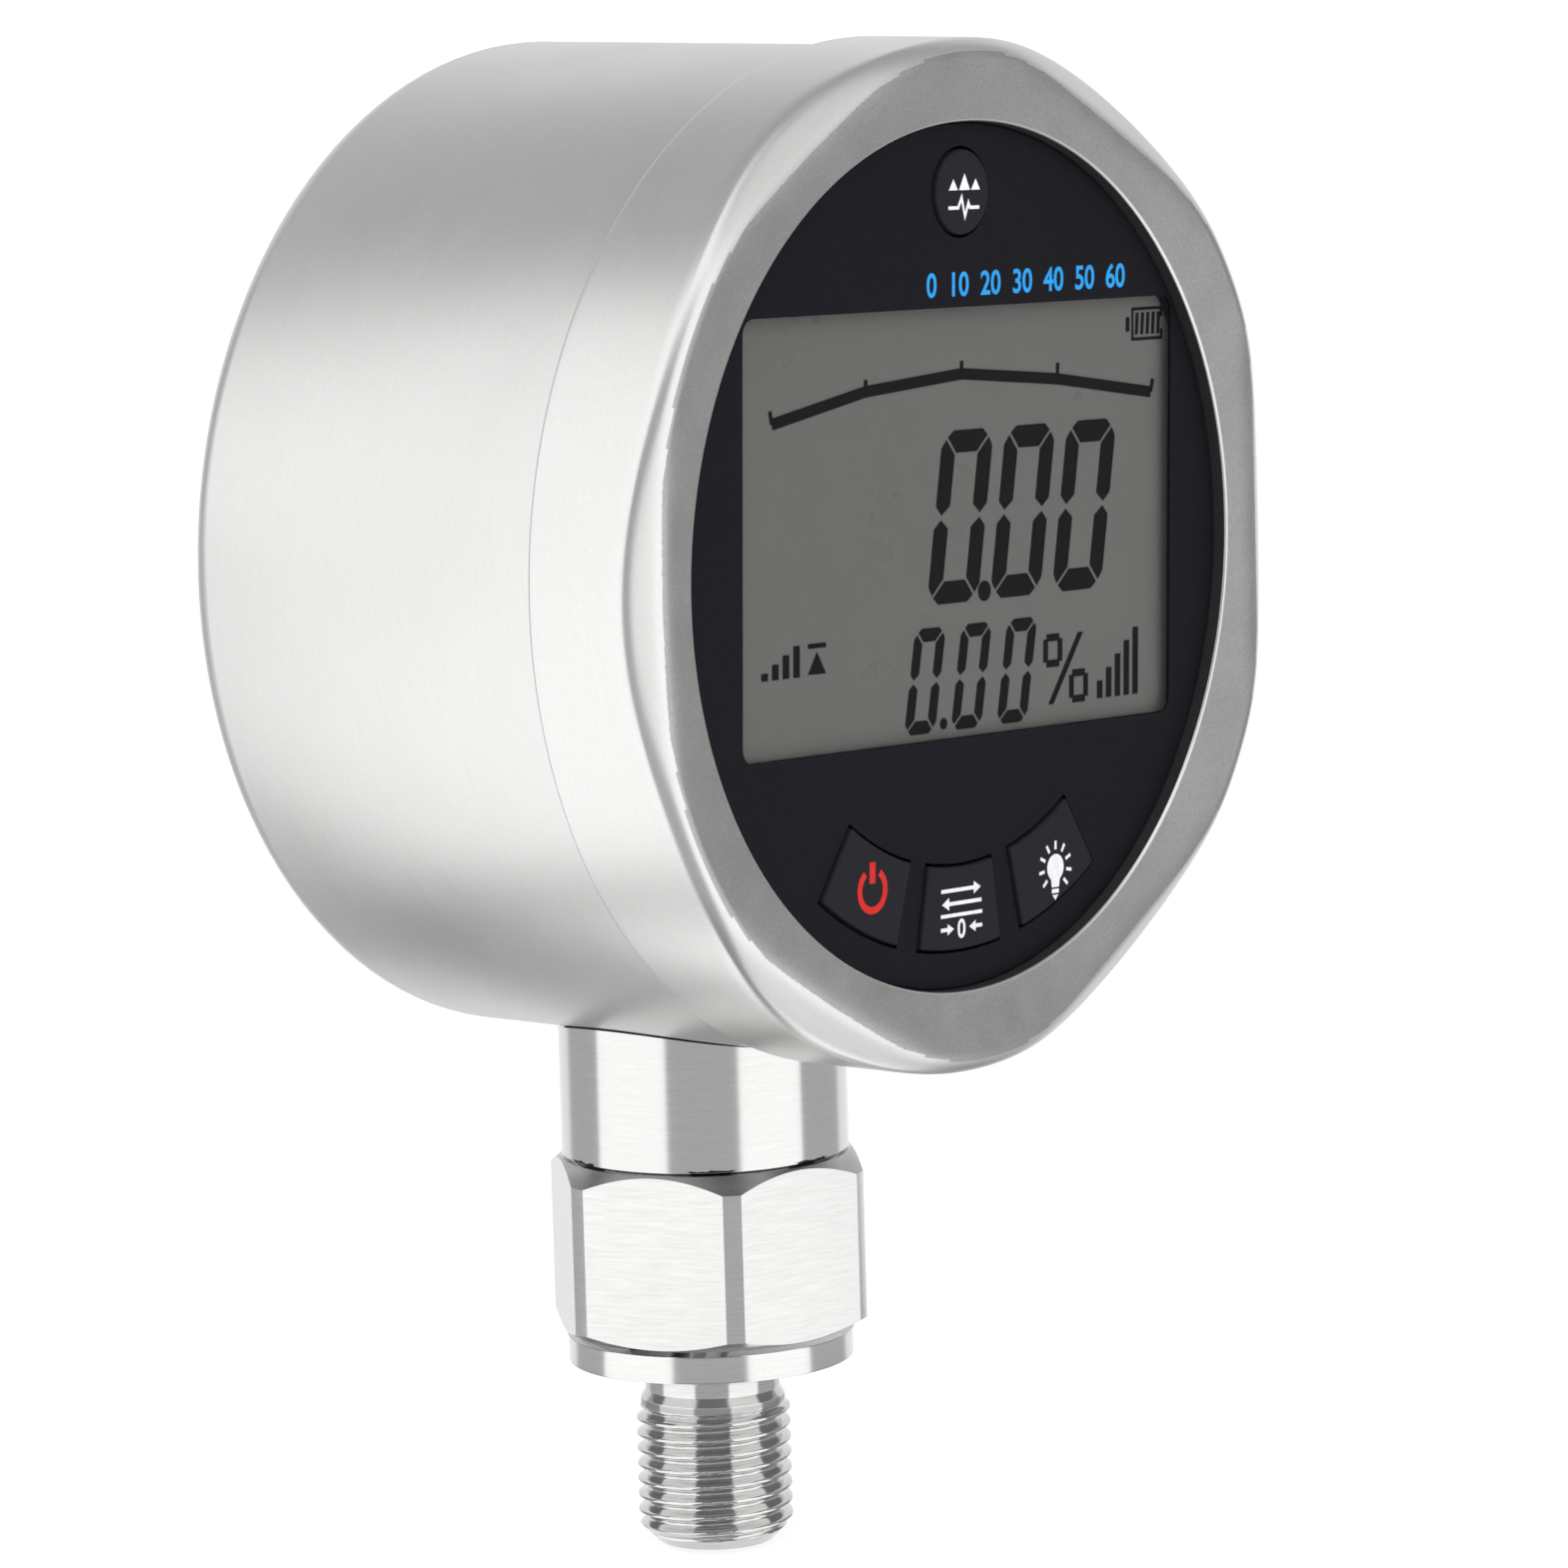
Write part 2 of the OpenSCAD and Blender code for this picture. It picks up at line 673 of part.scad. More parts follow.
// Outline of half of a leaf contact, as shares of its half height and of its reach
function leaf(half_h, reach) = [[-spring_foot_share * half_h, 0], [-spring_knee_share * half_h, 0],
    [-spring_crown_share * half_h, reach], [spring_crown_share * half_h, reach],
    [spring_knee_share * half_h, 0], [spring_foot_share * half_h, 0]];

// The leaf contacts that press on the cells' flat ends
module contact_springs() {
    half_h = plate_side / 2;
    color("silver") for (i = [0:cell_count - 1]) at_cell(i) rotate([90, 0, 90])
        translate([0, 0, -spring_w / 2]) linear_extrude(spring_w)
            polygon(concat([for (p = leaf(half_h, spring_l - spring_t)) [p[0], p[1] + spring_t]],
                [for (p = leaf(half_h, spring_l - spring_t)) [-p[0], p[1]]]));
}

// The ribbon's socket on the back of the board
module ribbon_socket() {
    color("ivory") translate([-socket_w / 2, -board_back_z, ribbon_z - socket_h / 2])
        cube([socket_w, socket_t, socket_h]);
}

// The ribbon between the sensor's board and the main board, arched for slack
module sensor_ribbon() {
    start_y = -plug_d / 2;
    end_y = -board_back_z + socket_t;
    line = [for (i = [0:ribbon_steps]) let (s = i / ribbon_steps)
        [start_y + (end_y - start_y) * s, ribbon_arch * (1 - cos(360 * s)) / 2]];
    color("lightgray") translate([-ribbon_w / 2, 0, ribbon_z]) rotate([90, 0, 90]) linear_extrude(ribbon_w)
        polygon(concat([for (p = line) p + [0, ribbon_t / 2]],
            [for (i = [0:ribbon_steps]) line[ribbon_steps - i] - [0, ribbon_t / 2]]));
}

// The plug on the sensor's board that the ribbon starts from
module ribbon_plug() {
    color("ivory") translate([-plug_w / 2, -plug_d / 2, plug_z]) cube([plug_w, plug_d, plug_h]);
}

// The sensor's small board, on top of the retainer
module sensor_board() {
    color("darkgreen") translate([0, 0, sensor_board_z]) cylinder(r = sensor_board_r, h = sensor_board_t);
}

// The threaded ring that holds the sensor down, with two slots for its key
module sensor_retainer() {
    color("silver") difference() {
        ring(sensor_r, retainer_in_r, retainer_z, sensor_board_z);
        translate([-chamber_r, -retainer_slot_w / 2, sensor_board_z - retainer_slot_depth])
            cube([2 * chamber_r, retainer_slot_w, retainer_slot_depth + cut]);
    }
}

// The sensor: a steel capsule with a raised head
module pressure_sensor() {
    color("lightslategray") translate([0, 0, sensor_z]) {
        cylinder(r = sensor_r, h = sensor_h);
        cylinder(r = sensor_head_r, h = sensor_h + sensor_head_h);
    }
}

// The O-ring under the sensor
module sensor_seal() {
    color("dimgray")
        o_ring(sensor_seal_r, chamber_z + seat_gap / 2 + sensor_seal_cord_d / 2, sensor_seal_cord_d);
}

// The hexagon with its chamfered and truncated corners
module hexagon() {
    face_r = hex_in_r * hex_face_share;
    low_chamfer_h = (hex_corner_r - face_r) * tan(hex_low_chamfer_angle);
    top_chamfer_h = (hex_corner_r - face_r) * tan(hex_top_chamfer_angle);
    intersection() {
        translate([0, 0, hex_z]) rotate([0, 0, hex_turn])
            cylinder(r = hex_in_r / cos(30), h = hex_h, $fn = 6);
        rotate_extrude() polygon([[0, hex_z], [face_r, hex_z], [hex_corner_r, hex_z + low_chamfer_h],
            [hex_corner_r, hex_top_z - top_chamfer_h], [face_r, hex_top_z], [0, hex_top_z]]);
    }
}

// The fitting: thread, run-out, groove, collar, hexagon and spigot in one turned and bored piece
module hex_fitting() {
    undercut_r = undercut_d / 2;
    runout_r = thread_r - runout_step;
    color("gainsboro") difference() {
        union() {
            rotate_extrude() polygon([[0, 0], [thread_r - tip_chamfer, 0], [thread_r, tip_chamfer],
                [thread_r, thread_l], [runout_r, thread_l + runout_step],
                [runout_r, thread_l + runout_w], [undercut_r, thread_l + runout_w + undercut_slope],
                [undercut_r, collar_z - undercut_slope], [thread_r, collar_z], [collar_d / 2, collar_z],
                [collar_d / 2, hex_z], [hex_in_r * hex_face_share, hex_z],
                [hex_in_r * hex_face_share, hex_top_z], [neck_r - neck_shoulder_in, hex_top_z],
                [neck_r - neck_shoulder_in, neck_bottom_z], [spigot_r, neck_bottom_z],
                [spigot_r, spigot_top_z], [0, spigot_top_z]]);
            hexagon();
        }
        translate([0, 0, -cut]) cylinder(d = port_d, h = chamber_z + 2 * cut);
        translate([0, 0, chamber_z]) cylinder(r = chamber_r, h = chamber_depth + cut);
    }
}

// The neck: a sleeve between the hexagon and the case, its top cut to the round of the case
module neck_sleeve() {
    color("lightgray") difference() {
        ring(neck_r, stem_hole_r, neck_bottom_z, case_bottom_z + neck_r);
        on_dial() cylinder(r = case_r + neck_case_gap, h = 2 * seam_forward, center = true);
        translate([0, 0, neck_seal_z - neck_seal_d / 2 - seat_gap])
            cylinder(r = neck_seal_seat_r, h = neck_r);
    }
}

// The O-ring round the spigot under the case
module neck_seal() {
    color("dimgray") o_ring(neck_seal_r, neck_seal_z, neck_seal_d - 2 * seat_gap);
}

// The washer inside the case: flat on top, its underside cut to the round of the case
module saddle_washer() {
    color("silver") intersection() {
        ring(washer_r, stem_hole_r, case_floor_z - cut, washer_top_z);
        on_dial() cylinder(r = case_in_r - seat_gap, h = 2 * seam_forward, center = true);
    }
}

// The nut that clamps the fitting to the case
module stem_nut() {
    color("silver") translate([0, 0, washer_top_z]) difference() {
        cylinder(r = nut_in_r / cos(30), h = nut_t, $fn = 6);
        translate([0, 0, -cut]) cylinder(r = spigot_r + seat_gap / 2, h = nut_t + 2 * cut);
    }
}

rear_case();
bezel_ring();
bezel_seal();
panel_gasket();
front_panel();
window_lens();
lcd_glass();
lcd_backlight();
lcd_contact_strips();
main_board();
board_chips();
board_screws();
switch_housings();
ribbon_socket();
tray_standoffs();
tray_screws();
battery_tray();
battery_1();
battery_2();
battery_3();
contact_plates();
contact_springs();
sensor_ribbon();
ribbon_plug();
sensor_board();
sensor_retainer();
pressure_sensor();
sensor_seal();
hex_fitting();
neck_sleeve();
neck_seal();
saddle_washer();
stem_nut();
key_peak();
key_power();
key_unit();
key_light();
plunger_peak();
plunger_power();
plunger_unit();
plunger_light();
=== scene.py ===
# %% [markdown]
# # A digital pressure gauge
# The real gauge is a drawn steel cup with a screwed bezel, a black panel with sprung keys and a display, and
# a turned stem with a pipe thread below. The CAD model already holds every piece in its place. This lesson
# loads it as a fixed frame, and then gives each visible piece the shape and the finish that CAD leaves out:
# the thread, the softly ground flats, the display's segments, the printed signs and the brushed steel.

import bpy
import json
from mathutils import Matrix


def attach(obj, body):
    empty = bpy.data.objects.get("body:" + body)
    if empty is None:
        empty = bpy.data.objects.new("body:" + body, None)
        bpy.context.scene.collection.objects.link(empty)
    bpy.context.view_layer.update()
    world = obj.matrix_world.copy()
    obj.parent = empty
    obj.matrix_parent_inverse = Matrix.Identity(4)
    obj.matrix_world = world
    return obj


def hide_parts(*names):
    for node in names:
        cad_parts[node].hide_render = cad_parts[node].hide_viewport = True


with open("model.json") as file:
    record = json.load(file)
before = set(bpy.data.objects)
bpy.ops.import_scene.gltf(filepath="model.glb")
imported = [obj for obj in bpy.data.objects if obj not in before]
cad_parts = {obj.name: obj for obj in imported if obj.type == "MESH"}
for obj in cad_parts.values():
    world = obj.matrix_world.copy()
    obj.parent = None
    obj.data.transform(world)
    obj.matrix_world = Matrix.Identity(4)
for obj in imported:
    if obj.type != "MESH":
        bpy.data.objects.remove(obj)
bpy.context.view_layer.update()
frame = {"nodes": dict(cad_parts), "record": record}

# %% [markdown]
# ## Sizes and the dial's own frame
# Every length here is in millimetres, as on the CAD drawing, and becomes metres only when a mesh is placed.
# The dial has its own frame: x to the right, y up and z towards the reader. One matrix puts what is drawn
# there into the shared frame. The heights at which signs are printed are read from the CAD nodes, so ink
# still lies on the panel when a size of the model changes.

# %% Sizes
import json
import math

import bmesh
import bpy
import numpy as np
from mathutils import Matrix, Vector

SCENE = bpy.context.scene
DIAL_Z = 86.0
DIAL_TURN = -2.5


def add(name, data):
    """A new object in the scene."""
    thing = bpy.data.objects.new(name, data)
    SCENE.collection.objects.link(thing)
    return thing


def points_of(node):
    """A CAD node's points in millimetres: to the right, back and up."""
    thing = frame["nodes"][node]
    return np.array([thing.matrix_world @ v.co for v in thing.data.vertices]) * 1000


def front_of(node):
    """How far the front of a node lies before the stem's axis."""
    return round(float(-points_of(node)[:, 1].min()), 3)


ring_points = points_of("bezel_ring")
ring_radii = np.hypot(ring_points[:, 0], ring_points[:, 2] - DIAL_Z)
BEZEL_R = math.floor(ring_radii.max() * 100) / 100
OPENING_R = round(float(ring_radii.min()), 3)
RIM, SEAM = front_of("bezel_ring"), round(float(-ring_points[:, 1].max()), 3)
FACE, KEY_TOP, DISPLAY = front_of("front_panel"), front_of("key_unit"), front_of("lcd_glass")
BOARD_BACK = round(float(-points_of("main_board")[:, 1].max()), 3)
NECK_FOOT = round(float(points_of("neck_sleeve")[:, 2].min()), 3)

METRES = Matrix.Scale(0.001, 4)
ON_CASE = METRES @ Matrix.Translation((0, 0, DIAL_Z)) @ Matrix.Rotation(math.radians(90), 4, "X")
ON_DIAL = ON_CASE @ Matrix.Rotation(math.radians(DIAL_TURN), 4, "Z")
SLOTS = {part["node"]: part["material_slot"] for part in frame["record"]["subparts"]}
print("bezel radius", BEZEL_R, "opening", OPENING_R, "rim", RIM, "seam", SEAM)
print("panel", FACE, "keys", KEY_TOP, "display", DISPLAY, "board's back", BOARD_BACK)

# %% [markdown]
# ## Camera
# The photograph was matched by fitting a camera to the outlines of the case, the bezel, the collar and the
# thread. Its place is written as a turn round the gauge, a height angle, a roll and a distance, which are
# easier to read than a matrix. The lens comes from the fitted focal length in pixels.

# %% Camera
PHOTO_SIDE = 1569
SENSOR = 36.0
AZIMUTH, ELEVATION, ROLL = (math.radians(a) for a in (50.732, 8.098, -1.628))
DISTANCE, SHIFT_RIGHT, SHIFT_UP, FOCAL_PX = 662.0, 5.744, 64.600, 7712.4

flat = math.cos(ELEVATION)
back = Vector((-math.sin(AZIMUTH) * flat, -math.cos(AZIMUTH) * flat, math.sin(ELEVATION)))
level = Vector((math.cos(AZIMUTH), -math.sin(AZIMUTH), 0))
upright = back.cross(level)
right = math.cos(ROLL) * level + math.sin(ROLL) * upright
up = math.cos(ROLL) * upright - math.sin(ROLL) * level
eye = METRES @ (back * DISTANCE + right * SHIFT_RIGHT + up * SHIFT_UP)

camera_data = bpy.data.cameras.new("camera")
camera_data.sensor_width = SENSOR
camera_data.lens = FOCAL_PX / PHOTO_SIDE * SENSOR
camera_data.clip_start = 0.01
camera = add("camera", camera_data)
camera.matrix_world = Matrix(((right.x, up.x, back.x, eye.x), (right.y, up.y, back.y, eye.y),
                              (right.z, up.z, back.z, eye.z), (0, 0, 0, 1)))
SCENE.camera = camera
print("lens", round(camera_data.lens, 1), "mm")

# %% [markdown]
# ## Writing node maths as plain sums
# Both the shapes and the finishes below follow rules: a thread is a formula of height and turn, and brushing
# runs round an axis. Wiring dozens of Math nodes by hand hides such a rule. A small class lets the rule be
# written with + - * /, and each sign adds one Math node, in geometry and in materials alike.

# %% A field that is written as a sum
class Field:
    """A number in a node tree. Arithmetic on it adds Math nodes."""

    def __init__(self, tree, socket):
        self.tree, self.socket = tree, socket

    def math(self, operation, *others):
        node = self.tree.nodes.new("ShaderNodeMath")
        node.operation = operation
        for slot, value in zip(node.inputs, (self,) + others):
            if isinstance(value, Field):
                value.to(slot)
            else:
                slot.default_value = value
        return Field(self.tree, node.outputs[0])

    def to(self, slot):
        """Links the number to a node's input."""
        self.tree.links.new(self.socket, slot)

    def __add__(self, other):
        return self.math("ADD", other)

    def __sub__(self, other):
        return self.math("SUBTRACT", other)

    def __mul__(self, other):
        return self.math("MULTIPLY", other)

    def __truediv__(self, other):
        return self.math("DIVIDE", other)


def split(tree, socket):
    """The three numbers of a vector socket."""
    node = tree.nodes.new("ShaderNodeSeparateXYZ")
    tree.links.new(socket, node.inputs[0])
    return [Field(tree, out) for out in node.outputs]


def join(x, y, z):
    """A vector socket from three fields."""
    node = x.tree.nodes.new("ShaderNodeCombineXYZ")
    for slot, value in zip(node.inputs, (x, y, z)):
        value.to(slot)
    return node.outputs[0]


def length_of(a, b):
    """The distance from an axis, from two offsets."""
    return (a * a + b * b).math("SQRT")


print("fields ready")

# %% [markdown]
# ## Finishes
# Steel that was turned or brushed shows fine strokes round its axis. A noise texture gives them when it is
# stretched: its first two numbers follow the direction from the axis and change slowly, and its third runs
# across the strokes and changes fast. The same noise drives the colour, the roughness and a slight bump.

# %% Helpers for materials
FINISHES = {}


def blank(name, color, roughness, metallic=0.0):
    """A new material with plain values, filed under its name."""
    material = bpy.data.materials.new(name)
    FINISHES[name.replace(" ", "_")] = material
    material.use_nodes = True
    shader = material.node_tree.nodes["Principled BSDF"]
    shader.inputs["Base Color"].default_value = (*color, 1)
    shader.inputs["Roughness"].default_value = roughness
    shader.inputs["Metallic"].default_value = metallic
    return material, material.node_tree, shader


def here(tree):
    """The object's own coordinates."""
    return tree.nodes.new("ShaderNodeTexCoord").outputs["Object"]


def noise(tree, scale, detail=3.0, roughness=0.55, vector=None):
    """A noise texture, on the object's own coordinates unless a vector is given."""
    node = tree.nodes.new("ShaderNodeTexNoise")
    node.inputs["Scale"].default_value = scale
    node.inputs["Detail"].default_value = detail
    node.inputs["Roughness"].default_value = roughness
    tree.links.new(here(tree) if vector is None else vector, node.inputs["Vector"])
    return Field(tree, node.outputs[0])


def paint(shader, field, stops):
    """The shader's colour runs through (place, colour) stops as the field grows."""
    node = field.tree.nodes.new("ShaderNodeValToRGB")
    while len(node.color_ramp.elements) < len(stops):
        node.color_ramp.elements.new(0.5)
    for element, (place, color) in zip(node.color_ramp.elements, stops):
        element.position, element.color = place, (*color, 1)
    field.to(node.inputs[0])
    field.tree.links.new(node.outputs[0], shader.inputs["Base Color"])


def span(field, low, high, to_low=0.0, to_high=1.0):
    """The field moved from one range to another, and held inside it."""
    node = field.tree.nodes.new("ShaderNodeMapRange")
    for slot, value in zip(node.inputs[1:5], (low, high, to_low, to_high)):
        slot.default_value = value
    field.to(node.inputs[0])
    return Field(field.tree, node.outputs[0])


def bump(shader, height, depth_mm, strength):
    """A bump from a height field."""
    node = height.tree.nodes.new("ShaderNodeBump")
    node.inputs["Strength"].default_value = strength
    node.inputs["Distance"].default_value = depth_mm * 0.001
    height.to(node.inputs["Height"])
    height.tree.links.new(node.outputs[0], shader.inputs["Normal"])


def grey(value):
    """A grey that is a trace warm."""
    return (value, value, value * 0.99)


print("helpers ready")

# %% [markdown]
# Dirt has stayed in the seam at the neck's foot, in short dark marks, each given as an angle and a half
# width in degrees. The case has a few faint smudges low down.

# %% Brushed and turned steel
SEAM_MARKS = [(60, 12), (162, 10), (222, 12), (267, 11), (330, 8)]


def marks_round(east, north):
    """Where dirt has stayed in a seam: 1 near each mark's angle, 0 elsewhere."""
    total = east * 0.0
    for angle, half_width in SEAM_MARKS:
        toward = east * math.cos(math.radians(angle)) + north * math.sin(math.radians(angle))
        beside = toward.math("MINIMUM", 0.9999).math("ARCCOSINE")
        total = total + span(beside, math.radians(half_width * 0.7), math.radians(half_width), 1, 0)
    return total


def turned_steel(name, dark, light, rough, about="stem", lean=1.0, strokes=3, per_mm=5, depth=0.003,
                 speckle=0.0, smudge_height=None, seam_height=None):
    """Steel brushed round the dial's axis or the stem's. lean is the sign with which the radius counts."""
    material, tree, shader = blank(name, grey(light), rough, 1.0)
    x, y, z = split(tree, here(tree))
    if about == "dial":
        a, b, along = x, z - DIAL_Z * 0.001, y
    else:
        a, b, along = x, y, z
    radius = length_of(a, b) + 1e-6
    across = (radius * lean + along) * (1000 * per_mm)
    grain = noise(tree, 1.0, 4.0, 0.65, join(a / radius * strokes, b / radius * strokes, across))
    cloud = noise(tree, 55.0, 3.0, 0.6)
    fine = noise(tree, 3800.0, 2.0)
    shade = span(grain, 0.3, 0.7) * (0.9 - speckle) + cloud * 0.1
    shade = (shade + span(fine, 0.3, 0.7) * speckle) * 0.7 + 0.3
    if smudge_height:
        near = span((z - smudge_height * 0.001).math("ABSOLUTE"), 0.001, 0.006, 1, 0)
        shade = shade - near * span(noise(tree, 130.0, 4.0, 0.6), 0.54, 0.66, 0.0, 0.15)
    if seam_height:
        ragged = noise(tree, 900.0) * 0.0005
        seam = span((z - seam_height * 0.001).math("ABSOLUTE") + ragged, 0.0004, 0.0005, 1, 0)
        shade = shade * (seam * marks_round(a / radius, b / radius) * -1 + 1)
    paint(shader, shade, [(0, grey(0.03)), (0.15, grey(dark * 0.82)), (0.3, grey(dark)), (1, grey(light))])
    wear = span(cloud, 0.35, 0.7, rough * 0.92, rough * 1.08) + span(grain, 0.2, 0.8, -0.02, 0.02)
    wear.to(shader.inputs["Roughness"])
    bump(shader, grain * (1 - speckle) + fine * speckle, depth, 0.35)
    return material


BRUSHED = {"about": "dial", "strokes": 9, "per_mm": 3, "depth": 0.006}
turned_steel("case steel", 0.60, 0.65, 0.34, lean=-1.0, speckle=0.5, smudge_height=62.5, **BRUSHED)
bezel_steel = turned_steel("bezel steel", 0.61, 0.67, 0.32, speckle=0.6, **BRUSHED)
neck_steel = turned_steel("turned neck steel", 0.58, 0.66, 0.13, per_mm=6, depth=0.004, speckle=0.3,
                          seam_height=NECK_FOOT)
stem_steel = turned_steel("turned stem steel", 0.60, 0.69, 0.14, speckle=0.3)
thread_steel = turned_steel("cut thread steel", 0.54, 0.66, 0.1, strokes=2, per_mm=4, depth=0.002)
# Painted shade: the chamfer's steel is about half as bright as the stem's, because the chamfer looks dark
# where it mirrors the neck.
chamfer_steel_painted_shade = turned_steel("turned chamfer steel", 0.30, 0.40, 0.2)
turned_steel("sensor steel", 0.5, 0.62, 0.25, depth=0.01)
print("turned steels made")

# %% [markdown]
# The bezel's front ring is different: it is matt and grainy, because it was blasted after turning, and it
# looks darker. Here an even noise in all directions is right, with sparse dark pits from a Voronoi texture.
# The hexagon's faces are milled, so their strokes run level.

# %% Blasted steel and ground faces
def blasted_steel(name, dark, light, rough):
    """Matt steel with an even fine grain and sparse pits."""
    material, tree, shader = blank(name, grey(light), rough, 1.0)
    fine = noise(tree, 5200.0, 2.0)
    cloud = noise(tree, 160.0, 4.0, 0.6)
    cells = tree.nodes.new("ShaderNodeTexVoronoi")
    cells.inputs["Scale"].default_value = 420.0
    tree.links.new(here(tree), cells.inputs["Vector"])
    pits = span(Field(tree, cells.outputs["Distance"]), 0.02, 0.09)
    shade = (span(fine, 0.25, 0.75, 0.0, 0.6) + cloud * 0.4) * span(pits, 0.0, 1.0, 0.75, 1.0)
    paint(shader, shade, [(0.15, grey(dark)), (0.85, grey(light))])
    span(cloud, 0.3, 0.7, rough - 0.05, rough + 0.06).to(shader.inputs["Roughness"])
    bump(shader, fine, 0.02, 0.4)
    return material


def milled_steel(name, dark, light, rough):
    """Steel with level strokes, as a cutter leaves on a hexagon's faces."""
    material, tree, shader = blank(name, grey(light), rough, 1.0)
    x, y, z = split(tree, here(tree))
    strokes = noise(tree, 1.0, 4.0, 0.7, join(x * 300, y * 300, z * 4200))
    paint(shader, span(strokes, 0.3, 0.7), [(0.0, grey(dark)), (1.0, grey(light))])
    span(strokes, 0.2, 0.8, rough - 0.05, rough + 0.05).to(shader.inputs["Roughness"])
    bump(shader, strokes, 0.008, 0.4)
    return material


bezel_face_steel = blasted_steel("blasted bezel face", 0.34, 0.46, 0.42)
hexagon_steel = milled_steel("milled hexagon steel", 0.56, 0.68, 0.2)
print("blasted and milled steels made")

# %% [markdown]
# The other finishes are simpler. Moulded plastic has a fine even grain, rubber is dull with dust in it,
# printed ink is flat, and a circuit board shows copper tracks through its green mask. Glass here is mostly
# see-through by its alpha, so that what lies behind it stays clear in any viewer.

# %% Plastics, rubber, ink and glass
def moulded(name, color, rough, grain=1400.0, depth=0.01, gloss=0.5, mottle=1.0):
    """Moulded plastic or rubber with a fine grain. mottle is how far its colour strays."""
    material, tree, shader = blank(name, color, rough)
    shader.inputs["Specular IOR Level"].default_value = gloss
    fine = noise(tree, grain)
    cloud = noise(tree, 120.0)
    pale = tuple(min(1.0, c * (1 + 0.18 * mottle) + 0.002 * mottle) for c in color)
    deep = tuple(c * (1 - 0.14 * mottle) for c in color)
    paint(shader, fine * 0.5 + cloud * 0.5, [(0.3, deep), (0.7, pale)])
    span(cloud, 0.3, 0.7, rough - 0.04, rough + 0.05).to(shader.inputs["Roughness"])
    bump(shader, fine, depth, 0.3)
    return material


def clear(name, color, alpha):
    """Clear glass: a thin gloss over what lies behind it."""
    material, tree, shader = blank(name, color, 0.05)
    shader.inputs["Alpha"].default_value = alpha
    span(noise(tree, 90.0), 0.3, 0.7, 0.04, 0.06).to(shader.inputs["Roughness"])
    return material


def masked_board(name):
    """Green solder mask over copper tracks."""
    material, tree, shader = blank(name, (0.01, 0.09, 0.03), 0.32)
    x, y, z = split(tree, here(tree))
    bricks = tree.nodes.new("ShaderNodeTexBrick")
    bricks.inputs["Scale"].default_value = 260.0
    bricks.inputs["Mortar Size"].default_value = 0.03
    bricks.inputs["Color1"].default_value = (0.008, 0.075, 0.026, 1)
    bricks.inputs["Color2"].default_value = (0.010, 0.095, 0.034, 1)
    bricks.inputs["Mortar"].default_value = (0.03, 0.2, 0.07, 1)
    tree.links.new(join(x + z * 0.5, z - x * 0.1, y), bricks.inputs["Vector"])
    tree.links.new(bricks.outputs["Color"], shader.inputs["Base Color"])
    bump(shader, Field(tree, bricks.outputs["Fac"]), 0.03, 0.4)
    return material


moulded("panel black", (0.0075, 0.0071, 0.0104), 0.5, gloss=0.07, mottle=0.5)
moulded("key grey", (0.0125, 0.0123, 0.0170), 0.55, gloss=0.12, mottle=0.5)
moulded("display glass", (0.165, 0.171, 0.159), 0.3, 2500, 0.002, gloss=0.2, mottle=0.15)
segment_ink = moulded("display segments", (0.0006, 0.0006, 0.0006), 0.6, gloss=0.03, mottle=0.2)
white_ink = moulded("white ink", (0.82, 0.82, 0.84), 0.55, gloss=0.2)
red_ink = moulded("red ink", (0.62, 0.02, 0.015), 0.55, gloss=0.2)
blue_ink = moulded("blue ink", (0.02, 0.32, 0.78), 0.55, gloss=0.2)
clear("lens clear", (0.05, 0.05, 0.05), 0.08)
light_guide = moulded("light guide white", (0.82, 0.82, 0.8), 0.4)
moulded("contact rubber", (0.55, 0.3, 0.32), 0.6)
masked_board("board green")
moulded("chip black", (0.016, 0.016, 0.018), 0.55, grain=3000)
moulded("socket ivory", (0.62, 0.58, 0.47), 0.45)
moulded("tray black", (0.02, 0.02, 0.022), 0.5)
moulded("ribbon grey", (0.5, 0.5, 0.51), 0.5)
seal_rubber = moulded("seal rubber", (0.018, 0.018, 0.018), 0.7)
print("plastics, inks, rubber and glass made")

# %% [markdown]
# Small metal parts get a coat of their own: plated screws and contacts, brass, and the cells' printed
# jackets, which leave the ends of the steel cans bare.

# %% Small metal parts and cells
def plated(name, color, rough):
    """A plated or machined metal with faint wear."""
    material, tree, shader = blank(name, color, rough, 1.0)
    cloud = noise(tree, 700.0)
    worn = tuple(c * 0.8 for c in color)
    paint(shader, cloud, [(0.3, worn), (0.7, color)])
    span(cloud, 0.3, 0.7, rough - 0.05, rough + 0.08).to(shader.inputs["Roughness"])
    bump(shader, cloud, 0.01, 0.2)
    return material


def jacketed_cell(name):
    """A cell: a coloured jacket with bare steel at both ends."""
    material, tree, shader = blank(name, (0.05, 0.16, 0.34), 0.3)
    height = (split(tree, here(tree))[2] - DIAL_Z * 0.001).math("ABSOLUTE")
    bare = span(height, 0.0202, 0.0203)
    band = span(height, 0.0150, 0.0152)
    place = bare * 0.6 + band * 0.4
    jacket, silver, can = (0.04, 0.12, 0.27), (0.5, 0.5, 0.48), (0.7, 0.7, 0.7)
    paint(shader, place, [(0.0, jacket), (0.39, jacket), (0.4, silver), (0.9, silver), (1.0, can)])
    span(place, 0.0, 1.0, 0.35, 1.0).to(shader.inputs["Metallic"])
    bump(shader, noise(tree, 300.0), 0.01, 0.1)
    return material


plated("screw steel", (0.7, 0.7, 0.71), 0.25)
contact_metal = plated("contact metal", (0.74, 0.72, 0.68), 0.25)
plated("brass", (0.72, 0.54, 0.24), 0.28)
jacketed_cell("cell jacket")

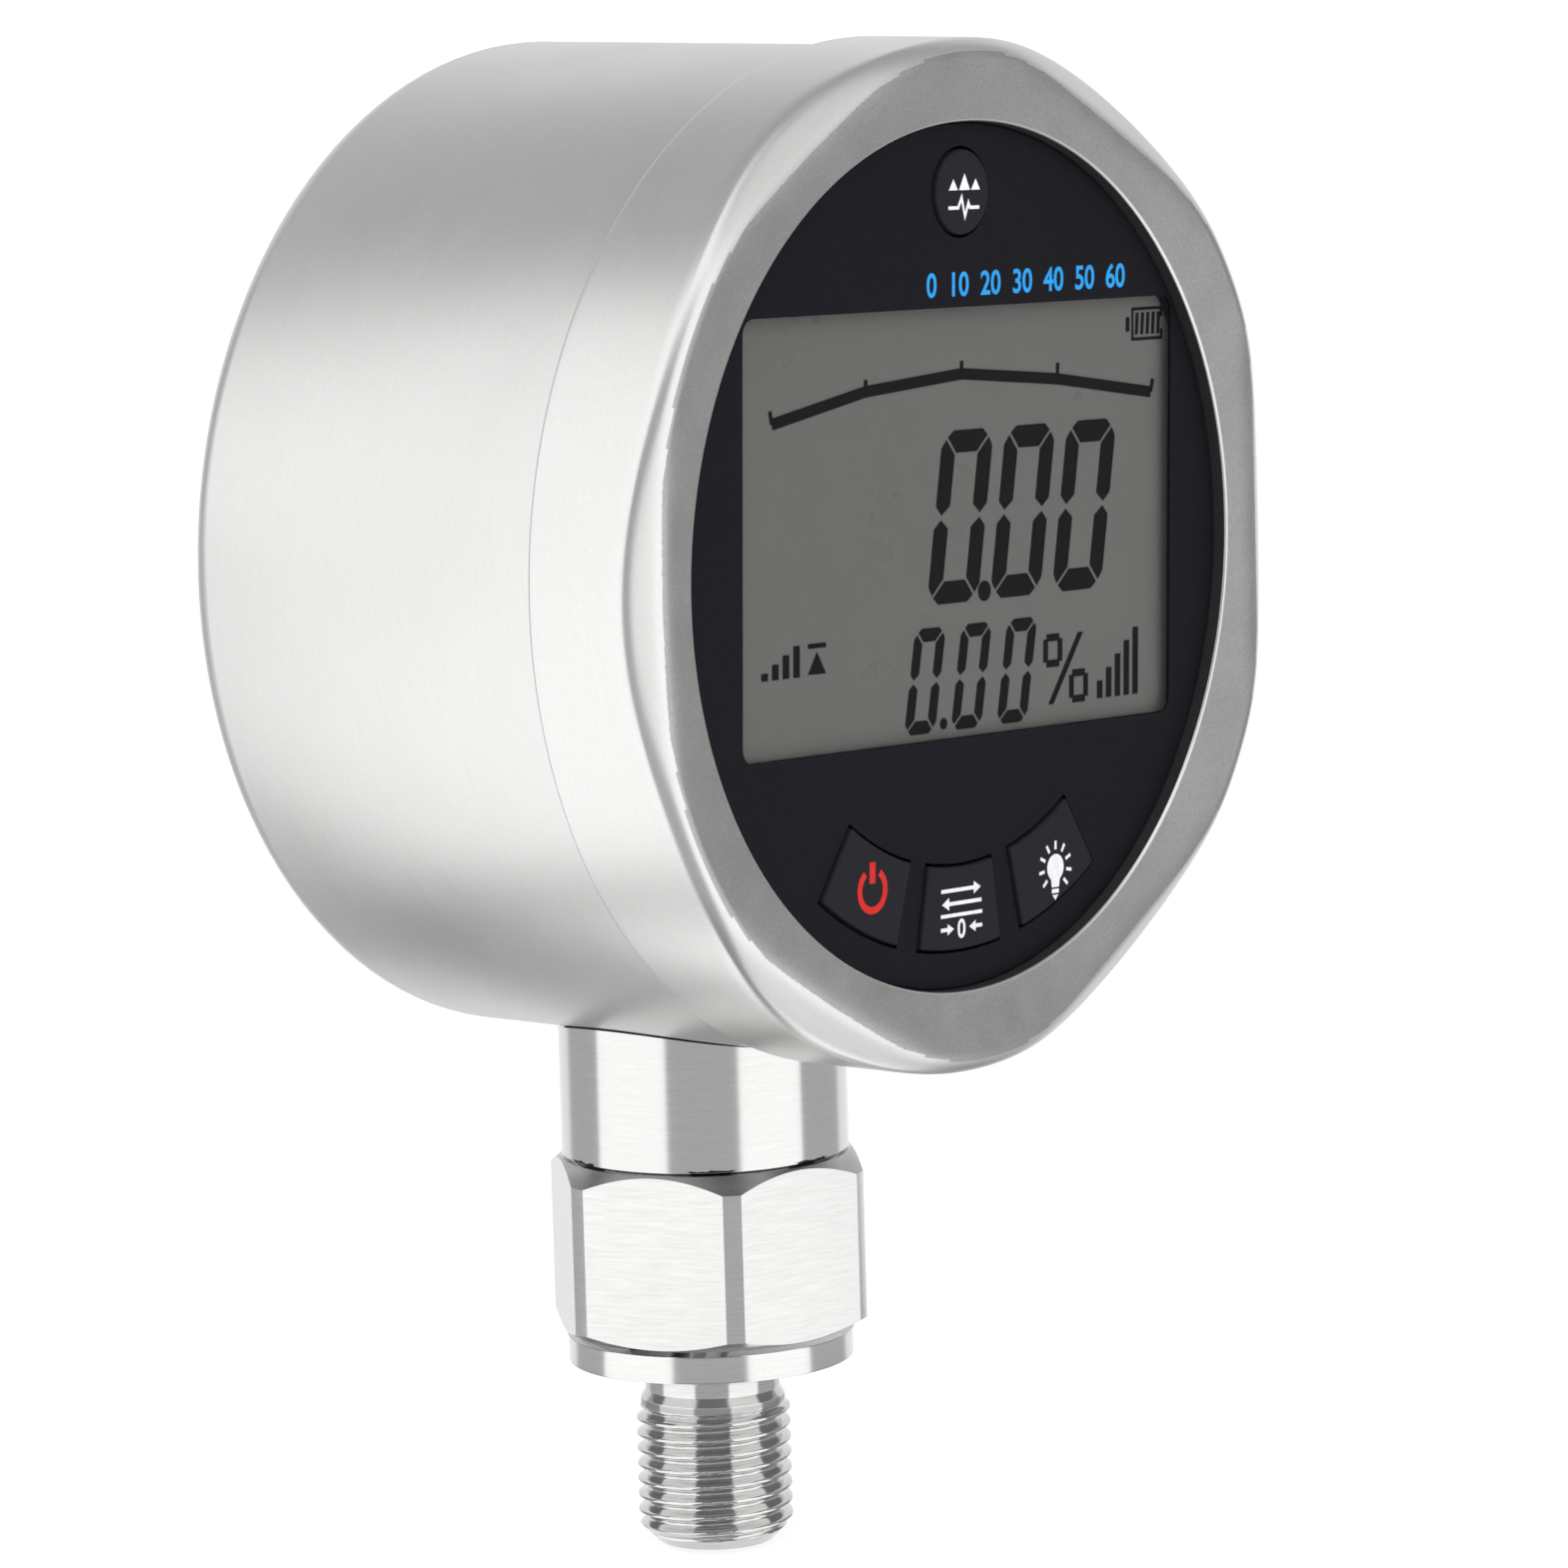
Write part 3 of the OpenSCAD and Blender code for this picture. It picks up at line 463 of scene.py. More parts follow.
FINISHES.update(stem_steel=stem_steel, neck_steel=neck_steel, light_guide=light_guide)
for node, thing in frame["nodes"].items():
    for place in thing.material_slots:
        place.material = FINISHES[SLOTS[node]]
print(len(FINISHES), "finishes for", len(frame["nodes"]), "nodes")

# %% [markdown]
# ## Placing a piece
# Every new piece ends in the same few steps: its points are moved to their place in metres, its faces are
# shaded smooth with hard edges where they meet at an angle, and it rides on the body that carries it. One
# helper does this, so that a piece's own cell holds only its shape.

# %% Helpers for pieces
def smooth_faces(mesh, degrees, flat_mm2):
    """Smooth faces, hard at edges over this angle and round each face larger than flat_mm2."""
    work = bmesh.new()
    work.from_mesh(mesh)
    for face in work.faces:
        face.smooth = True
    for edge in work.edges:
        large = any(face.calc_area() * 1e6 > flat_mm2 for face in edge.link_faces)
        limit = math.radians(5 if large else degrees)
        edge.smooth = len(edge.link_faces) == 2 and edge.calc_face_angle(0.0) < limit
    work.to_mesh(mesh)
    work.free()


def piece(name, mesh, materials, place, body="gauge", instead_of=(), degrees=30, flat_mm2=1e6):
    """A finished piece: placed, shaded, painted and riding on its body."""
    mesh.transform(place)
    finish_of_face = [face.material_index for face in mesh.polygons]
    mesh.materials.clear()
    for material in materials:
        mesh.materials.append(material)
    mesh.polygons.foreach_set("material_index", finish_of_face)
    smooth_faces(mesh, degrees, flat_mm2)
    thing = add(name, mesh)
    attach(thing, body)
    if instead_of:
        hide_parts(*instead_of)
    print(f"{name}: {len(mesh.polygons)} faces on {body}")


def mesh_of(points, faces):
    """A new mesh from points and faces."""
    mesh = bpy.data.meshes.new("mesh")
    mesh.from_pydata(points, [], faces)
    return mesh


def body_of(node):
    """The body that carries a CAD node."""
    bodies = frame["record"]["behaviour"]["bodies"]
    return next(body for body, nodes in bodies.items() if node in nodes)


print("the round key rides on", body_of("key_peak"))

# %% [markdown]
# ## Turned pieces
# The bezel and the fitting were cut on a lathe, so each begins as an outline that is spun about an axis.
# The outline lists its corners with the radius that rounds each one and, where a later rule bends the
# surface, the step at which the edge after it is divided. Spinning in code keeps rows of even quads.

# %% Outlines and turning
def rounded(corners, arc_steps=6):
    """A closed outline from (x, y, corner radius, step) entries."""
    points = []
    for i, (x, y, radius, step) in enumerate(corners):
        corner = np.array((x, y), float)
        before = np.array(corners[i - 1][:2], float) - corner
        after = np.array(corners[(i + 1) % len(corners)][:2], float) - corner
        u, v = before / np.linalg.norm(before), after / np.linalg.norm(after)
        if radius == 0:
            turn = [corner]
        else:
            half = math.acos(max(-1.0, min(1.0, float(u @ v)))) / 2
            centre = corner + (u + v) / np.linalg.norm(u + v) * radius / math.sin(half)
            first = corner + u * radius / math.tan(half) - centre
            last = corner + v * radius / math.tan(half) - centre
            start = math.atan2(first[1], first[0])
            sweep = (math.atan2(last[1], last[0]) - start + math.pi) % (2 * math.pi) - math.pi
            angles = [start + sweep * k / arc_steps for k in range(arc_steps + 1)]
            turn = [centre + radius * np.array((math.cos(a), math.sin(a))) for a in angles]
        points.append((turn, step))
    outline = []
    for i, (turn, step) in enumerate(points):
        outline += turn
        following = points[(i + 1) % len(points)][0][0]
        if step:
            count = max(1, round(float(np.linalg.norm(following - turn[-1])) / step))
            outline += [turn[-1] + (following - turn[-1]) * k / count for k in range(1, count)]
    return outline


def turned(outline, steps):
    """A mesh spun about z from a closed outline of (radius, height)."""
    n = len(outline)
    angles = [i * 2 * math.pi / steps for i in range(steps)]
    points = [(r * math.cos(a), r * math.sin(a), z) for a in angles for r, z in outline]
    faces = [(i * n + j, (i + 1) % steps * n + j, (i + 1) % steps * n + (j + 1) % n, i * n + (j + 1) % n)
             for i in range(steps) for j in range(n)]
    return mesh_of(points, faces)


print("outlines and turning ready")

# %% [markdown]
# ## A rule that grinds flats
# The bezel's spanner flats are planes cut into a round piece, spaced evenly. In Geometry Nodes one short
# rule makes them: find the nearest of the planes, measure how far a point stands in front of it, and press
# the point back by that depth. A smooth maximum in place of a hard one leaves the soft edge of real
# grinding.

# %% The tree that grinds flats
def new_rule(name, sizes):
    """A tree with a geometry in and out and a named input for each size."""
    tree = bpy.data.node_groups.new(name, "GeometryNodeTree")
    tree.interface.new_socket("Geometry", in_out="INPUT", socket_type="NodeSocketGeometry")
    tree.interface.new_socket("Geometry", in_out="OUTPUT", socket_type="NodeSocketGeometry")
    tree.interface.new_socket("Material", in_out="INPUT", socket_type="NodeSocketMaterial")
    for size in sizes:
        tree.interface.new_socket(size, in_out="INPUT", socket_type="NodeSocketFloat")
    start = tree.nodes.new("NodeGroupInput")
    return tree, start, {size: Field(tree, start.outputs[size]) for size in sizes}


def close_rule(tree, start, geometry):
    """Ends a tree in Realize Instances and Set Material."""
    realize = tree.nodes.new("GeometryNodeRealizeInstances")
    dress = tree.nodes.new("GeometryNodeSetMaterial")
    end = tree.nodes.new("NodeGroupOutput")
    tree.links.new(geometry, realize.inputs["Geometry"])
    tree.links.new(realize.outputs[0], dress.inputs["Geometry"])
    tree.links.new(start.outputs["Material"], dress.inputs["Material"])
    tree.links.new(dress.outputs[0], end.inputs[0])


def move_points(tree, start, position):
    """Set Position to a vector socket."""
    move = tree.nodes.new("GeometryNodeSetPosition")
    tree.links.new(start.outputs["Geometry"], move.inputs["Geometry"])
    tree.links.new(position, move.inputs["Position"])
    return move.outputs[0]


def apply_rule(mesh, tree, material, values):
    """The mesh that a tree makes of another, as a plain mesh."""
    stand = add("blank", mesh)
    rule = stand.modifiers.new("rule", "NODES")
    rule.node_group = tree
    values = dict(values, Material=material)
    for item in tree.interface.items_tree:
        if item.in_out == "INPUT" and item.name in values:
            rule[item.identifier] = values[item.name]
    graph = bpy.context.evaluated_depsgraph_get()
    made = bpy.data.meshes.new_from_object(stand.evaluated_get(graph), depsgraph=graph)
    stand.modifiers.clear()
    bpy.data.objects.remove(stand)
    return made


grind, start, size = new_rule("grind flats", ["Count", "Reach", "Height", "Tilt", "Softness"])
x, y, z = split(grind, grind.nodes.new("GeometryNodeInputPosition").outputs[0])
sector = size["Count"].math("POWER", -1.0) * (2 * math.pi)
nearest = (y.math("ARCTAN2", x) / sector).math("ROUND") * sector
toward_x, toward_y = nearest.math("COSINE"), nearest.math("SINE")
lean_in, lean_on = size["Tilt"].math("SINE"), size["Tilt"].math("COSINE")
proud = (x * toward_x + y * toward_y - size["Reach"]) * lean_in + (z - size["Height"]) * lean_on
press = proud.math("SMOOTH_MAX", 0.0, size["Softness"])
pressed = join(x - toward_x * lean_in * press, y - toward_y * lean_in * press, z - lean_on * press)
close_rule(grind, start, move_points(grind, start, pressed))
print("tree", grind.name, "has", len(grind.nodes), "nodes")

# %% [markdown]
# ## Bezel
# The bezel is a steel ring with a dished front, a rounded corner and six flats for a spanner. Its front ring
# is blasted and its wall and flats are brushed, so after grinding the faces are sorted by which way they
# look: those that look almost straight ahead take the blasted finish. The faces of the opening's inner wall
# are made black.

# %% Bezel
FLAT_CUT, FLAT_TILT, FLAT_SOFTNESS = 3.5, 33, 1.6
FLATS = {"Count": 6.0, "Reach": BEZEL_R - FLAT_CUT, "Height": RIM,
         "Tilt": math.radians(FLAT_TILT), "Softness": FLAT_SOFTNESS}
DISH, LIP, CORNER = 0.8, 1.5, 1.6
SPIGOT_R, SEAT_R, SPIGOT_TOP = 41.45, 40.1, 20.5
LIP_BACK = RIM - DISH - LIP
bezel_outline = rounded([
    (SPIGOT_R, SEAM, 0, 0), (BEZEL_R, SEAM, 0.3, 0.4), (BEZEL_R, RIM, CORNER, 0),
    (BEZEL_R - CORNER - 0.05, RIM, 0, 0.1), (OPENING_R, RIM - DISH, 0.3, 0.4), (OPENING_R, LIP_BACK, 0, 0),
    (SEAT_R, LIP_BACK, 0, 0), (SEAT_R, SPIGOT_TOP, 0, 0), (SPIGOT_R, SPIGOT_TOP, 0, 0)], arc_steps=10)
bezel_mesh = apply_rule(turned(bezel_outline, 720), grind, bezel_steel, FLATS)
FACING_FRONT, RING_DEPTH, UPRIGHT = 0.955, 1.1, 0.3
for face in bezel_mesh.polygons:
    front = face.normal.z > FACING_FRONT and face.center.z > RIM - RING_DEPTH
    # The faces of the opening's inner wall are made black.
    dark_inner_wall = abs(face.normal.z) < UPRIGHT and face.center.xy.length < OPENING_R + 0.02
    face.material_index = 1 if front else 2 if dark_inner_wall else 0
piece("bezel_turned", bezel_mesh, [bezel_steel, bezel_face_steel, seal_rubber], ON_CASE,
      instead_of=["bezel_ring"], degrees=50)

# %% [markdown]
# ## Thread
# A pipe thread is a groove that winds up the stem, one pitch for each turn. At any point its depth depends
# only on one number, the height in pitches less the turn in rounds, so the fitting can be turned plain and
# then cut by a rule. A Whitworth form has flanks at 27.5 degrees and rounded crests and roots, which a
# smooth minimum and a smooth maximum give.

# %% The tree that cuts a thread
THREAD_SIZES = ["Pitch", "Depth", "Major radius", "Top", "Run-out", "Phase"]
cut_thread, start, size = new_rule("cut thread", THREAD_SIZES)
CREST_SHARE, FLANK_SHARE, ROUNDING = 0.165, 0.67, 0.22
x, y, z = split(cut_thread, cut_thread.nodes.new("GeometryNodeInputPosition").outputs[0])
radius = length_of(x, y) + 1e-6
phase = (z / size["Pitch"] - y.math("ARCTAN2", x) / (2 * math.pi) + size["Phase"]).math("FRACT")
off_crest = (phase - 0.5).math("ABSOLUTE") * 2
flank = (off_crest - CREST_SHARE) / FLANK_SHARE
valley = flank.math("SMOOTH_MAX", 0.0, ROUNDING).math("SMOOTH_MIN", 1.0, ROUNDING)
fading = ((size["Top"] - z) / size["Run-out"]).math("MAXIMUM", 0.0).math("MINIMUM", 1.0)
groove_r = size["Major radius"] - size["Depth"] * valley * fading
chip = (radius - groove_r).math("MAXIMUM", 0.0) * z.math("LESS_THAN", size["Top"])
keep = (radius - chip * radius.math("GREATER_THAN", size["Major radius"] * 0.5)) / radius
close_rule(cut_thread, start, move_points(cut_thread, start, join(x * keep, y * keep, z)))
print("tree", cut_thread.name, "has", len(cut_thread.nodes), "nodes")

# %% [markdown]
# The stem's lower end is turned plain, with a chamfered tip and a step down where the thread runs out, and
# the rule cuts it. Rows of points stand close together there, because the groove winds between them.

# %% Threaded end
THREAD_R, RUNOUT_R, GROOVE_R, PORT_R = 6.5785, 6.1485, 5.725, 2.5
THREAD_TOP, PARTING, OVERLAP, INSET = 11.5, 14.5, 0.1, 0.02
TIP_R, TIP_H = 4.93, 1.65
thread_outline = rounded([
    (PORT_R, 0, 0.3, 0), (TIP_R, 0, 0.1, 0.1), (THREAD_R, TIP_H, 0.05, 0.07),
    (THREAD_R, THREAD_TOP, 0.05, 0.07), (RUNOUT_R, THREAD_TOP + 0.43, 0.05, 0.07),
    (RUNOUT_R, THREAD_TOP + 1.1, 0.05, 0.1), (GROOVE_R - INSET, THREAD_TOP + 1.8, 0.1, 0),
    (GROOVE_R - INSET, PARTING + OVERLAP, 0, 0), (PORT_R + INSET, PARTING + OVERLAP, 0, 0)], arc_steps=3)
THREAD = {"Pitch": 25.4 / 19, "Depth": 0.856, "Major radius": THREAD_R, "Top": THREAD_TOP + 1.0,
          "Run-out": 0.9, "Phase": -0.19}
thread_mesh = apply_rule(turned(thread_outline, 288), cut_thread, thread_steel, THREAD)
print("thread cut:", len(thread_mesh.polygons), "faces")

# %% [markdown]
# ## Pieces that CAD already shapes
# The case, the panel, the neck and the keys have the right form in CAD. Their meshes come as loose
# triangles, so a copy is merged, its flat faces are joined, and the edges that a finger would feel get a
# small bevel. The copy then stands for the node.

# %% Copies with finished edges
def merged(node):
    """A merged copy of a CAD node as an open bmesh in the shared frame."""
    work = bmesh.new()
    work.from_mesh(frame["nodes"][node].data)
    work.transform(frame["nodes"][node].matrix_world)
    bmesh.ops.remove_doubles(work, verts=work.verts, dist=2e-6)
    bmesh.ops.dissolve_limit(work, angle_limit=math.radians(0.6), verts=work.verts, edges=work.edges)
    return work


def bevel_edges(work, bevel_mm, degrees):
    """A small round bevel on every edge at which faces meet at more than this angle."""
    limit = math.radians(degrees)
    sharp = [e for e in work.edges if len(e.link_faces) == 2 and e.calc_face_angle(0.0) > limit]
    bmesh.ops.bevel(work, geom=sharp, offset=bevel_mm * 0.001, segments=3, profile=0.5, affect="EDGES",
                    clamp_overlap=True)


def finished_copy(node, bevel_mm=0.0):
    """A copy with finished edges that stands for its node."""
    work = merged(node)
    if bevel_mm:
        bevel_edges(work, bevel_mm, 35)
    mesh = bpy.data.meshes.new(node)
    work.to_mesh(mesh)
    work.free()
    slot = SLOTS[node]
    piece(node + "_finished", mesh, [FINISHES[slot]], Matrix.Identity(4), body_of(node), [node])


for node in ("rear_case", "neck_sleeve", "front_panel"):
    finished_copy(node)
for node in ("key_peak", "key_power", "key_unit", "key_light"):
    finished_copy(node, 0.22)

# %% [markdown]
# The fitting is both: its collar, hexagon and spigot come from CAD, and its lower end is the threaded piece
# above. The CAD copy is cut through the groove, its cut is closed, and the two are joined. The hexagon's
# milled faces are found by their plane's distance from the stem's axis, which no turned face shares. The
# collar falls off a little toward its upper edge.

# %% Fitting
HEXAGON_INNER_R, HEXAGON_FOOT, CHAMFER_FOOT = 12.5, 18.8, 30
COLLAR_R, COLLAR_FALL = 12.15, 0.45
work = merged("hex_fitting")
for vertex in work.verts:
    on_edge = abs(vertex.co.z * 1000 - HEXAGON_FOOT) < 0.01
    if on_edge and abs(math.hypot(vertex.co.x, vertex.co.y) * 1000 - COLLAR_R) < 0.05:
        vertex.co.z -= COLLAR_FALL * 0.001
bevel_edges(work, 0.12, 75)
cut = bmesh.ops.bisect_plane(work, geom=work.verts[:] + work.edges[:] + work.faces[:],
                             plane_co=(0, 0, PARTING * 0.001), plane_no=(0, 0, 1), clear_inner=True)
rims = [e for e in cut["geom_cut"] if isinstance(e, bmesh.types.BMEdge)]
bmesh.ops.bridge_loops(work, edges=rims)
thread_mesh.transform(METRES)
work.from_mesh(thread_mesh)
bmesh.ops.recalc_face_normals(work, faces=work.faces)
work.normal_update()
for face in work.faces:
    centre = face.calc_center_median() * 1000
    threaded = centre.z < PARTING
    milled = abs(face.normal.z) < 0.02 and abs(centre.dot(face.normal) - HEXAGON_INNER_R) < 0.05
    # The chamfer on top of the hexagon takes the steel with painted shade.
    chamfer = 0.4 < face.normal.z < 0.95 and centre.z > CHAMFER_FOOT
    face.material_index = 1 if threaded else 2 if milled else 3 if chamfer else 0
fitting_mesh = bpy.data.meshes.new("fitting")
work.to_mesh(fitting_mesh)
work.free()
print("milled faces:", sum(p.material_index == 2 for p in fitting_mesh.polygons))
piece("fitting_turned", fitting_mesh, [stem_steel, thread_steel, hexagon_steel, chamfer_steel_painted_shade],
      Matrix.Identity(4), instead_of=["hex_fitting"], degrees=35, flat_mm2=0.3)

# %% [markdown]
# ## Flat shapes
# The display's segments and the printed signs are thin plates with an outline. A stroke of even width is a
# line with points offset to both sides, and a plate is an outline with a front, a back and an edge. A set
# of plates that share a colour and a body becomes one mesh.

# %% Plates and strokes
def plates(outlines, low, high):
    """One mesh of thin plates, each from an outline, between two heights."""
    points, faces = [], []
    for outline in outlines:
        area = sum(a[0] * b[1] - b[0] * a[1] for a, b in zip(outline, outline[1:] + outline[:1]))
        ring = outline if area > 0 else outline[::-1]
        n, first = len(ring), len(points)
        points += [(p[0], p[1], low) for p in ring] + [(p[0], p[1], high) for p in ring]
        faces.append(tuple(first + i for i in reversed(range(n))))
        faces.append(tuple(first + n + i for i in range(n)))
        faces += [(first + i, first + (i + 1) % n, first + n + (i + 1) % n, first + n + i) for i in range(n)]
    return mesh_of(points, faces)


def stroke(line, width):
    """The outline of an open line of even width."""
    line = [np.array(p, float) for p in line]
    left, rights = [], []
    for i, p in enumerate(line):
        ahead = line[min(i + 1, len(line) - 1)] - p
        behind = p - line[max(i - 1, 0)]
        ahead, behind = (ahead if np.any(ahead) else behind), (behind if np.any(behind) else ahead)
        ahead, behind = ahead / np.linalg.norm(ahead), behind / np.linalg.norm(behind)
        tangent = (ahead + behind) / np.linalg.norm(ahead + behind)
        side = np.array((-tangent[1], tangent[0])) * width / 2 / max(0.4, float(tangent @ ahead))
        left.append(tuple(p + side))
        rights.append(tuple(p - side))
    return left + rights[::-1]


def arc_line(x, y, r, first, last, count=24):
    """Points on an arc, with angles in degrees."""
    turns = [math.radians(first + (last - first) * k / count) for k in range(count + 1)]
    return [(x + r * math.cos(a), y + r * math.sin(a)) for a in turns]


def disc(x, y, r):
    """The outline of a full circle."""
    return arc_line(x, y, r, 0, 360, 32)[:-1]


def box(x0, y0, x1, y1):
    """The outline of an upright rectangle."""
    return [(x0, y0), (x1, y0), (x1, y1), (x0, y1)]


print("plates and strokes ready")

# %% [markdown]
# ## Display
# A segment display writes each figure with bars that are mitred at their corners and stand apart by a hair.
# One figure is drawn once, and a Geometry Nodes tree lays copies of it in a row. The same tree later sets
# the bars of the battery sign and the pins of the chips.

# %% The tree that lays a row of copies
row, start, size = new_rule("row of copies", ["Count", "Pitch"])
points_line = row.nodes.new("GeometryNodeMeshLine")
size["Count"].to(points_line.inputs["Count"])
zero = size["Pitch"] * 0.0
row.links.new(join(size["Pitch"], zero, zero), points_line.inputs["Offset"])
copies = row.nodes.new("GeometryNodeInstanceOnPoints")
row.links.new(points_line.outputs[0], copies.inputs["Points"])
row.links.new(start.outputs["Geometry"], copies.inputs["Instance"])
close_rule(row, start, copies.outputs[0])


def in_a_row(mesh, material, count, pitch):
    """A row of copies of a mesh."""
    return apply_rule(mesh, row, material, {"Count": float(count), "Pitch": float(pitch)})


print("tree", row.name, "has", len(row.nodes), "nodes")

# %% Figures
def segment_zero(width, height, t, gap):
    """The six lit bars of a nought, before it leans."""
    side = [(0, height / 2 + gap + 0.4 * t), (0.45 * t, height / 2 + gap), (t, height / 2 + gap + 0.4 * t),
            (t, height - t - gap), (0.3 * t, height - 0.3 * t - gap), (0, height - 0.8 * t)]
    top = [(t + gap, height - t), (width - t - gap, height - t), (width - 0.3 * t - gap, height - 0.3 * t),
           (width - 0.8 * t, height), (0.8 * t, height), (0.3 * t + gap, height - 0.3 * t)]
    bars = [side, top]
    bars += [[(width - x, y) for x, y in side]]
    return bars + [[(x, height - y) for x, y in bar] for bar in bars]


def leaning(outlines, x0, y0, slant):
    """Outlines moved to their place and leaned to the right."""
    return [[(x0 + x + slant * y, y0 + y) for x, y in outline] for outline in outlines]


def on_display(outlines):
    """Plates just above the display's glass."""
    return plates(outlines, DISPLAY + 0.005, DISPLAY + 0.045)


def display_ink(name, mesh):
    """Segments that the display carries."""
    piece(name, mesh, [segment_ink], ON_DIAL)


big = on_display(leaning(segment_zero(6.8, 14.2, 1.85, 0.2), -2.9, -3.84, 0.15))
display_ink("display_big_figures", in_a_row(big, segment_ink, 3, 8.47))
small = on_display(leaning(segment_zero(4.05, 8.65, 1.1, 0.17), -5.88, -14.34, 0.17))
display_ink("display_small_figures", in_a_row(small, segment_ink, 3, 6.2))

# %% [markdown]
# The rest of the display holds the decimal points, a bar scale with five ticks, a battery sign, a marker
# for the highest value and a per cent sign with a level beside it. These signs are generic.

# %% Signs on the display
SCALE = [(-22.98, 11.95), (-10.97, 14.04), (1.68, 14.96), (14.74, 13.98), (27.8, 12.32)]
TICK_TOPS = [(-23.23, 13.0), (-10.97, 15.01), (1.68, 16.02), (14.73, 15.32), (28.08, 13.41)]


def small_ring(x, y, width=2.6, height=2.8, t=0.62):
    """A small open square written with four bars."""
    trim, far_x, far_y = 0.7 * t, x + width, y + height
    return [box(x, y + trim, x + t, far_y - trim), box(far_x - t, y + trim, far_x, far_y - trim),
            box(x + trim, y, far_x - trim, y + t), box(x + trim, far_y - t, far_x - trim, far_y)]


display_signs = [disc(4.81, -3.1, 0.85), disc(-0.65, -13.7, 0.47), stroke(SCALE, 0.95)]
display_signs += [stroke([foot, top], 0.42) for foot, top in zip(SCALE, TICK_TOPS)]

# The battery sign: two corners and the width of its line.
x0, y0, x1, y1, line = 25.05, 16.74, 29.4, 19.54, 0.26
display_signs += [box(x0 - 0.8, y0 + 0.8, x0 - 0.3, y1 - 0.8), box(x0, y0, x0 + line, y1)]
display_signs += [box(x0, y0, x1, y0 + line), box(x0, y1 - line, x1, y1)]
display_signs += [box(x1 - line, y0, x1, y0 + 0.9), box(x1 - line, y1 - 0.9, x1, y1)]
charge = on_display(leaning([box(0, 0, 0.4, 1.85)], x0 + 0.5, y0 + 0.5, 0.06))

highest = [box(-24.3 + 1.35 * i, -8.5, -23.5 + 1.35 * i, -7.9 + 0.65 * i) for i in range(4)]
highest += [[(-18.4, -8.4), (-16.1, -8.4), (-17.25, -6.6)], box(-18.4, -6.3, -16.1, -5.9)]
per_cent = small_ring(12.9, -10.1) + small_ring(16.5, -13.3)
per_cent += [[(13.6, -13.2), (14.3, -13.2), (18.4, -7.4), (17.7, -7.4)]]
level_bars = [box(20.4 + 1.25 * i, -13.2, 21.15 + 1.25 * i, -11.7 + 1.05 * i) for i in range(5)]
display_ink("display_signs", on_display(display_signs + highest + per_cent + level_bars))
display_ink("display_charge_bars", in_a_row(charge, segment_ink, 5, 0.76))

# %% [markdown]
# ## Printed signs
# The panel and the keys carry thin ink: a pulse under three peaks on the round key, a red power sign, swap
# arrows over a nought and a lamp on the lower keys, and plain blue numbers above the window. Ink on a key
# rides with the key, so that it sinks when the key is pressed.

# %% Signs on the keys
def arrow(x0, x1, y, line, head):
    """A level arrow from x0 to x1."""
    neck = x1 - head if x1 > x0 else x1 + head
    return [box(min(x0, neck), y - line / 2, max(x0, neck), y + line / 2),
            [(neck, y - head * 0.55), (x1, y), (neck, y + head * 0.55)]]


def key_ink(name, outlines, material, body):
    """Ink on a key, set into its face by a hair."""
    mesh = plates(outlines, KEY_TOP - 0.01, KEY_TOP + 0.015)
    piece(name, mesh, [material], ON_DIAL, body=body)


pulse = [(-1.9, 28.62), (-0.6, 28.62), (-0.15, 29.45), (0.3, 27.9), (0.75, 29.0), (0.95, 28.62),
         (2.2, 28.62)]
peaks = [[(-1.85, 30.05), (-0.65, 30.05), (-1.25, 30.95)], [(-0.5, 30.05), (0.96, 30.05), (0.23, 31.4)],
         [(1.1, 30.05), (2.3, 30.05), (1.7, 30.95)]]
key_ink("ink_peak", [stroke(pulse, 0.28)] + peaks, white_ink, "peak_key")

power_x, power_y = -11.78, -26.34
power = [stroke(arc_line(power_x, power_y, 1.66, 124, 416), 0.6),
         box(power_x - 0.38, power_y + 0.55, power_x + 0.38, power_y + 2.3)]
key_ink("ink_power", power, red_ink, "power_key")

swap_arrows = arrow(-2.7, 2.6, -27.35, 0.32, 0.95) + arrow(2.7, -2.6, -28.45, 0.32, 0.95)
swap_arrows += [box(-2.75, -29.57, 2.8, -29.27)]
swap_arrows += arrow(-2.75, -1.0, -30.55, 0.32, 0.85) + arrow(2.8, 1.05, -30.55, 0.32, 0.85)
key_ink("ink_unit", swap_arrows, white_ink, "unit_key")

globe_x, globe_y = 12.82, -26.74
cap = [(-0.5, -1.65), (0.5, -1.65)]
screw = box(-0.48, -2.15, 0.48, -1.8)
foot = [(-0.4, -2.3), (0.4, -2.3), (0, -2.75)]
lamp_sign = [arc_line(0, 0, 1.14, -58, 238) + cap, screw, foot]
for turn in range(-42, 223, 33):
    c, s = math.cos(math.radians(turn)), math.sin(math.radians(turn))
    lamp_sign.append(stroke([(1.52 * c, 1.52 * s), (2.25 * c, 2.25 * s)], 0.28))
lamp_sign = leaning(lamp_sign, globe_x, globe_y, 0.0)
key_ink("ink_light", lamp_sign, white_ink, "light_key")


# %% Numbers
def number(text, size_mm, bold):
    """A plain number as a flat mesh, centred, in millimetres."""
    curve = bpy.data.curves.new("number", "FONT")
    curve.body, curve.size, curve.offset = text, size_mm, bold
    curve.align_x, curve.align_y = "CENTER", "BOTTOM_BASELINE"
    curve.extrude = 0.012
    thing = add("number", curve)
    graph = bpy.context.evaluated_depsgraph_get()
    mesh = bpy.data.meshes.new_from_object(thing.evaluated_get(graph), depsgraph=graph)
    bpy.data.objects.remove(thing)
    return mesh


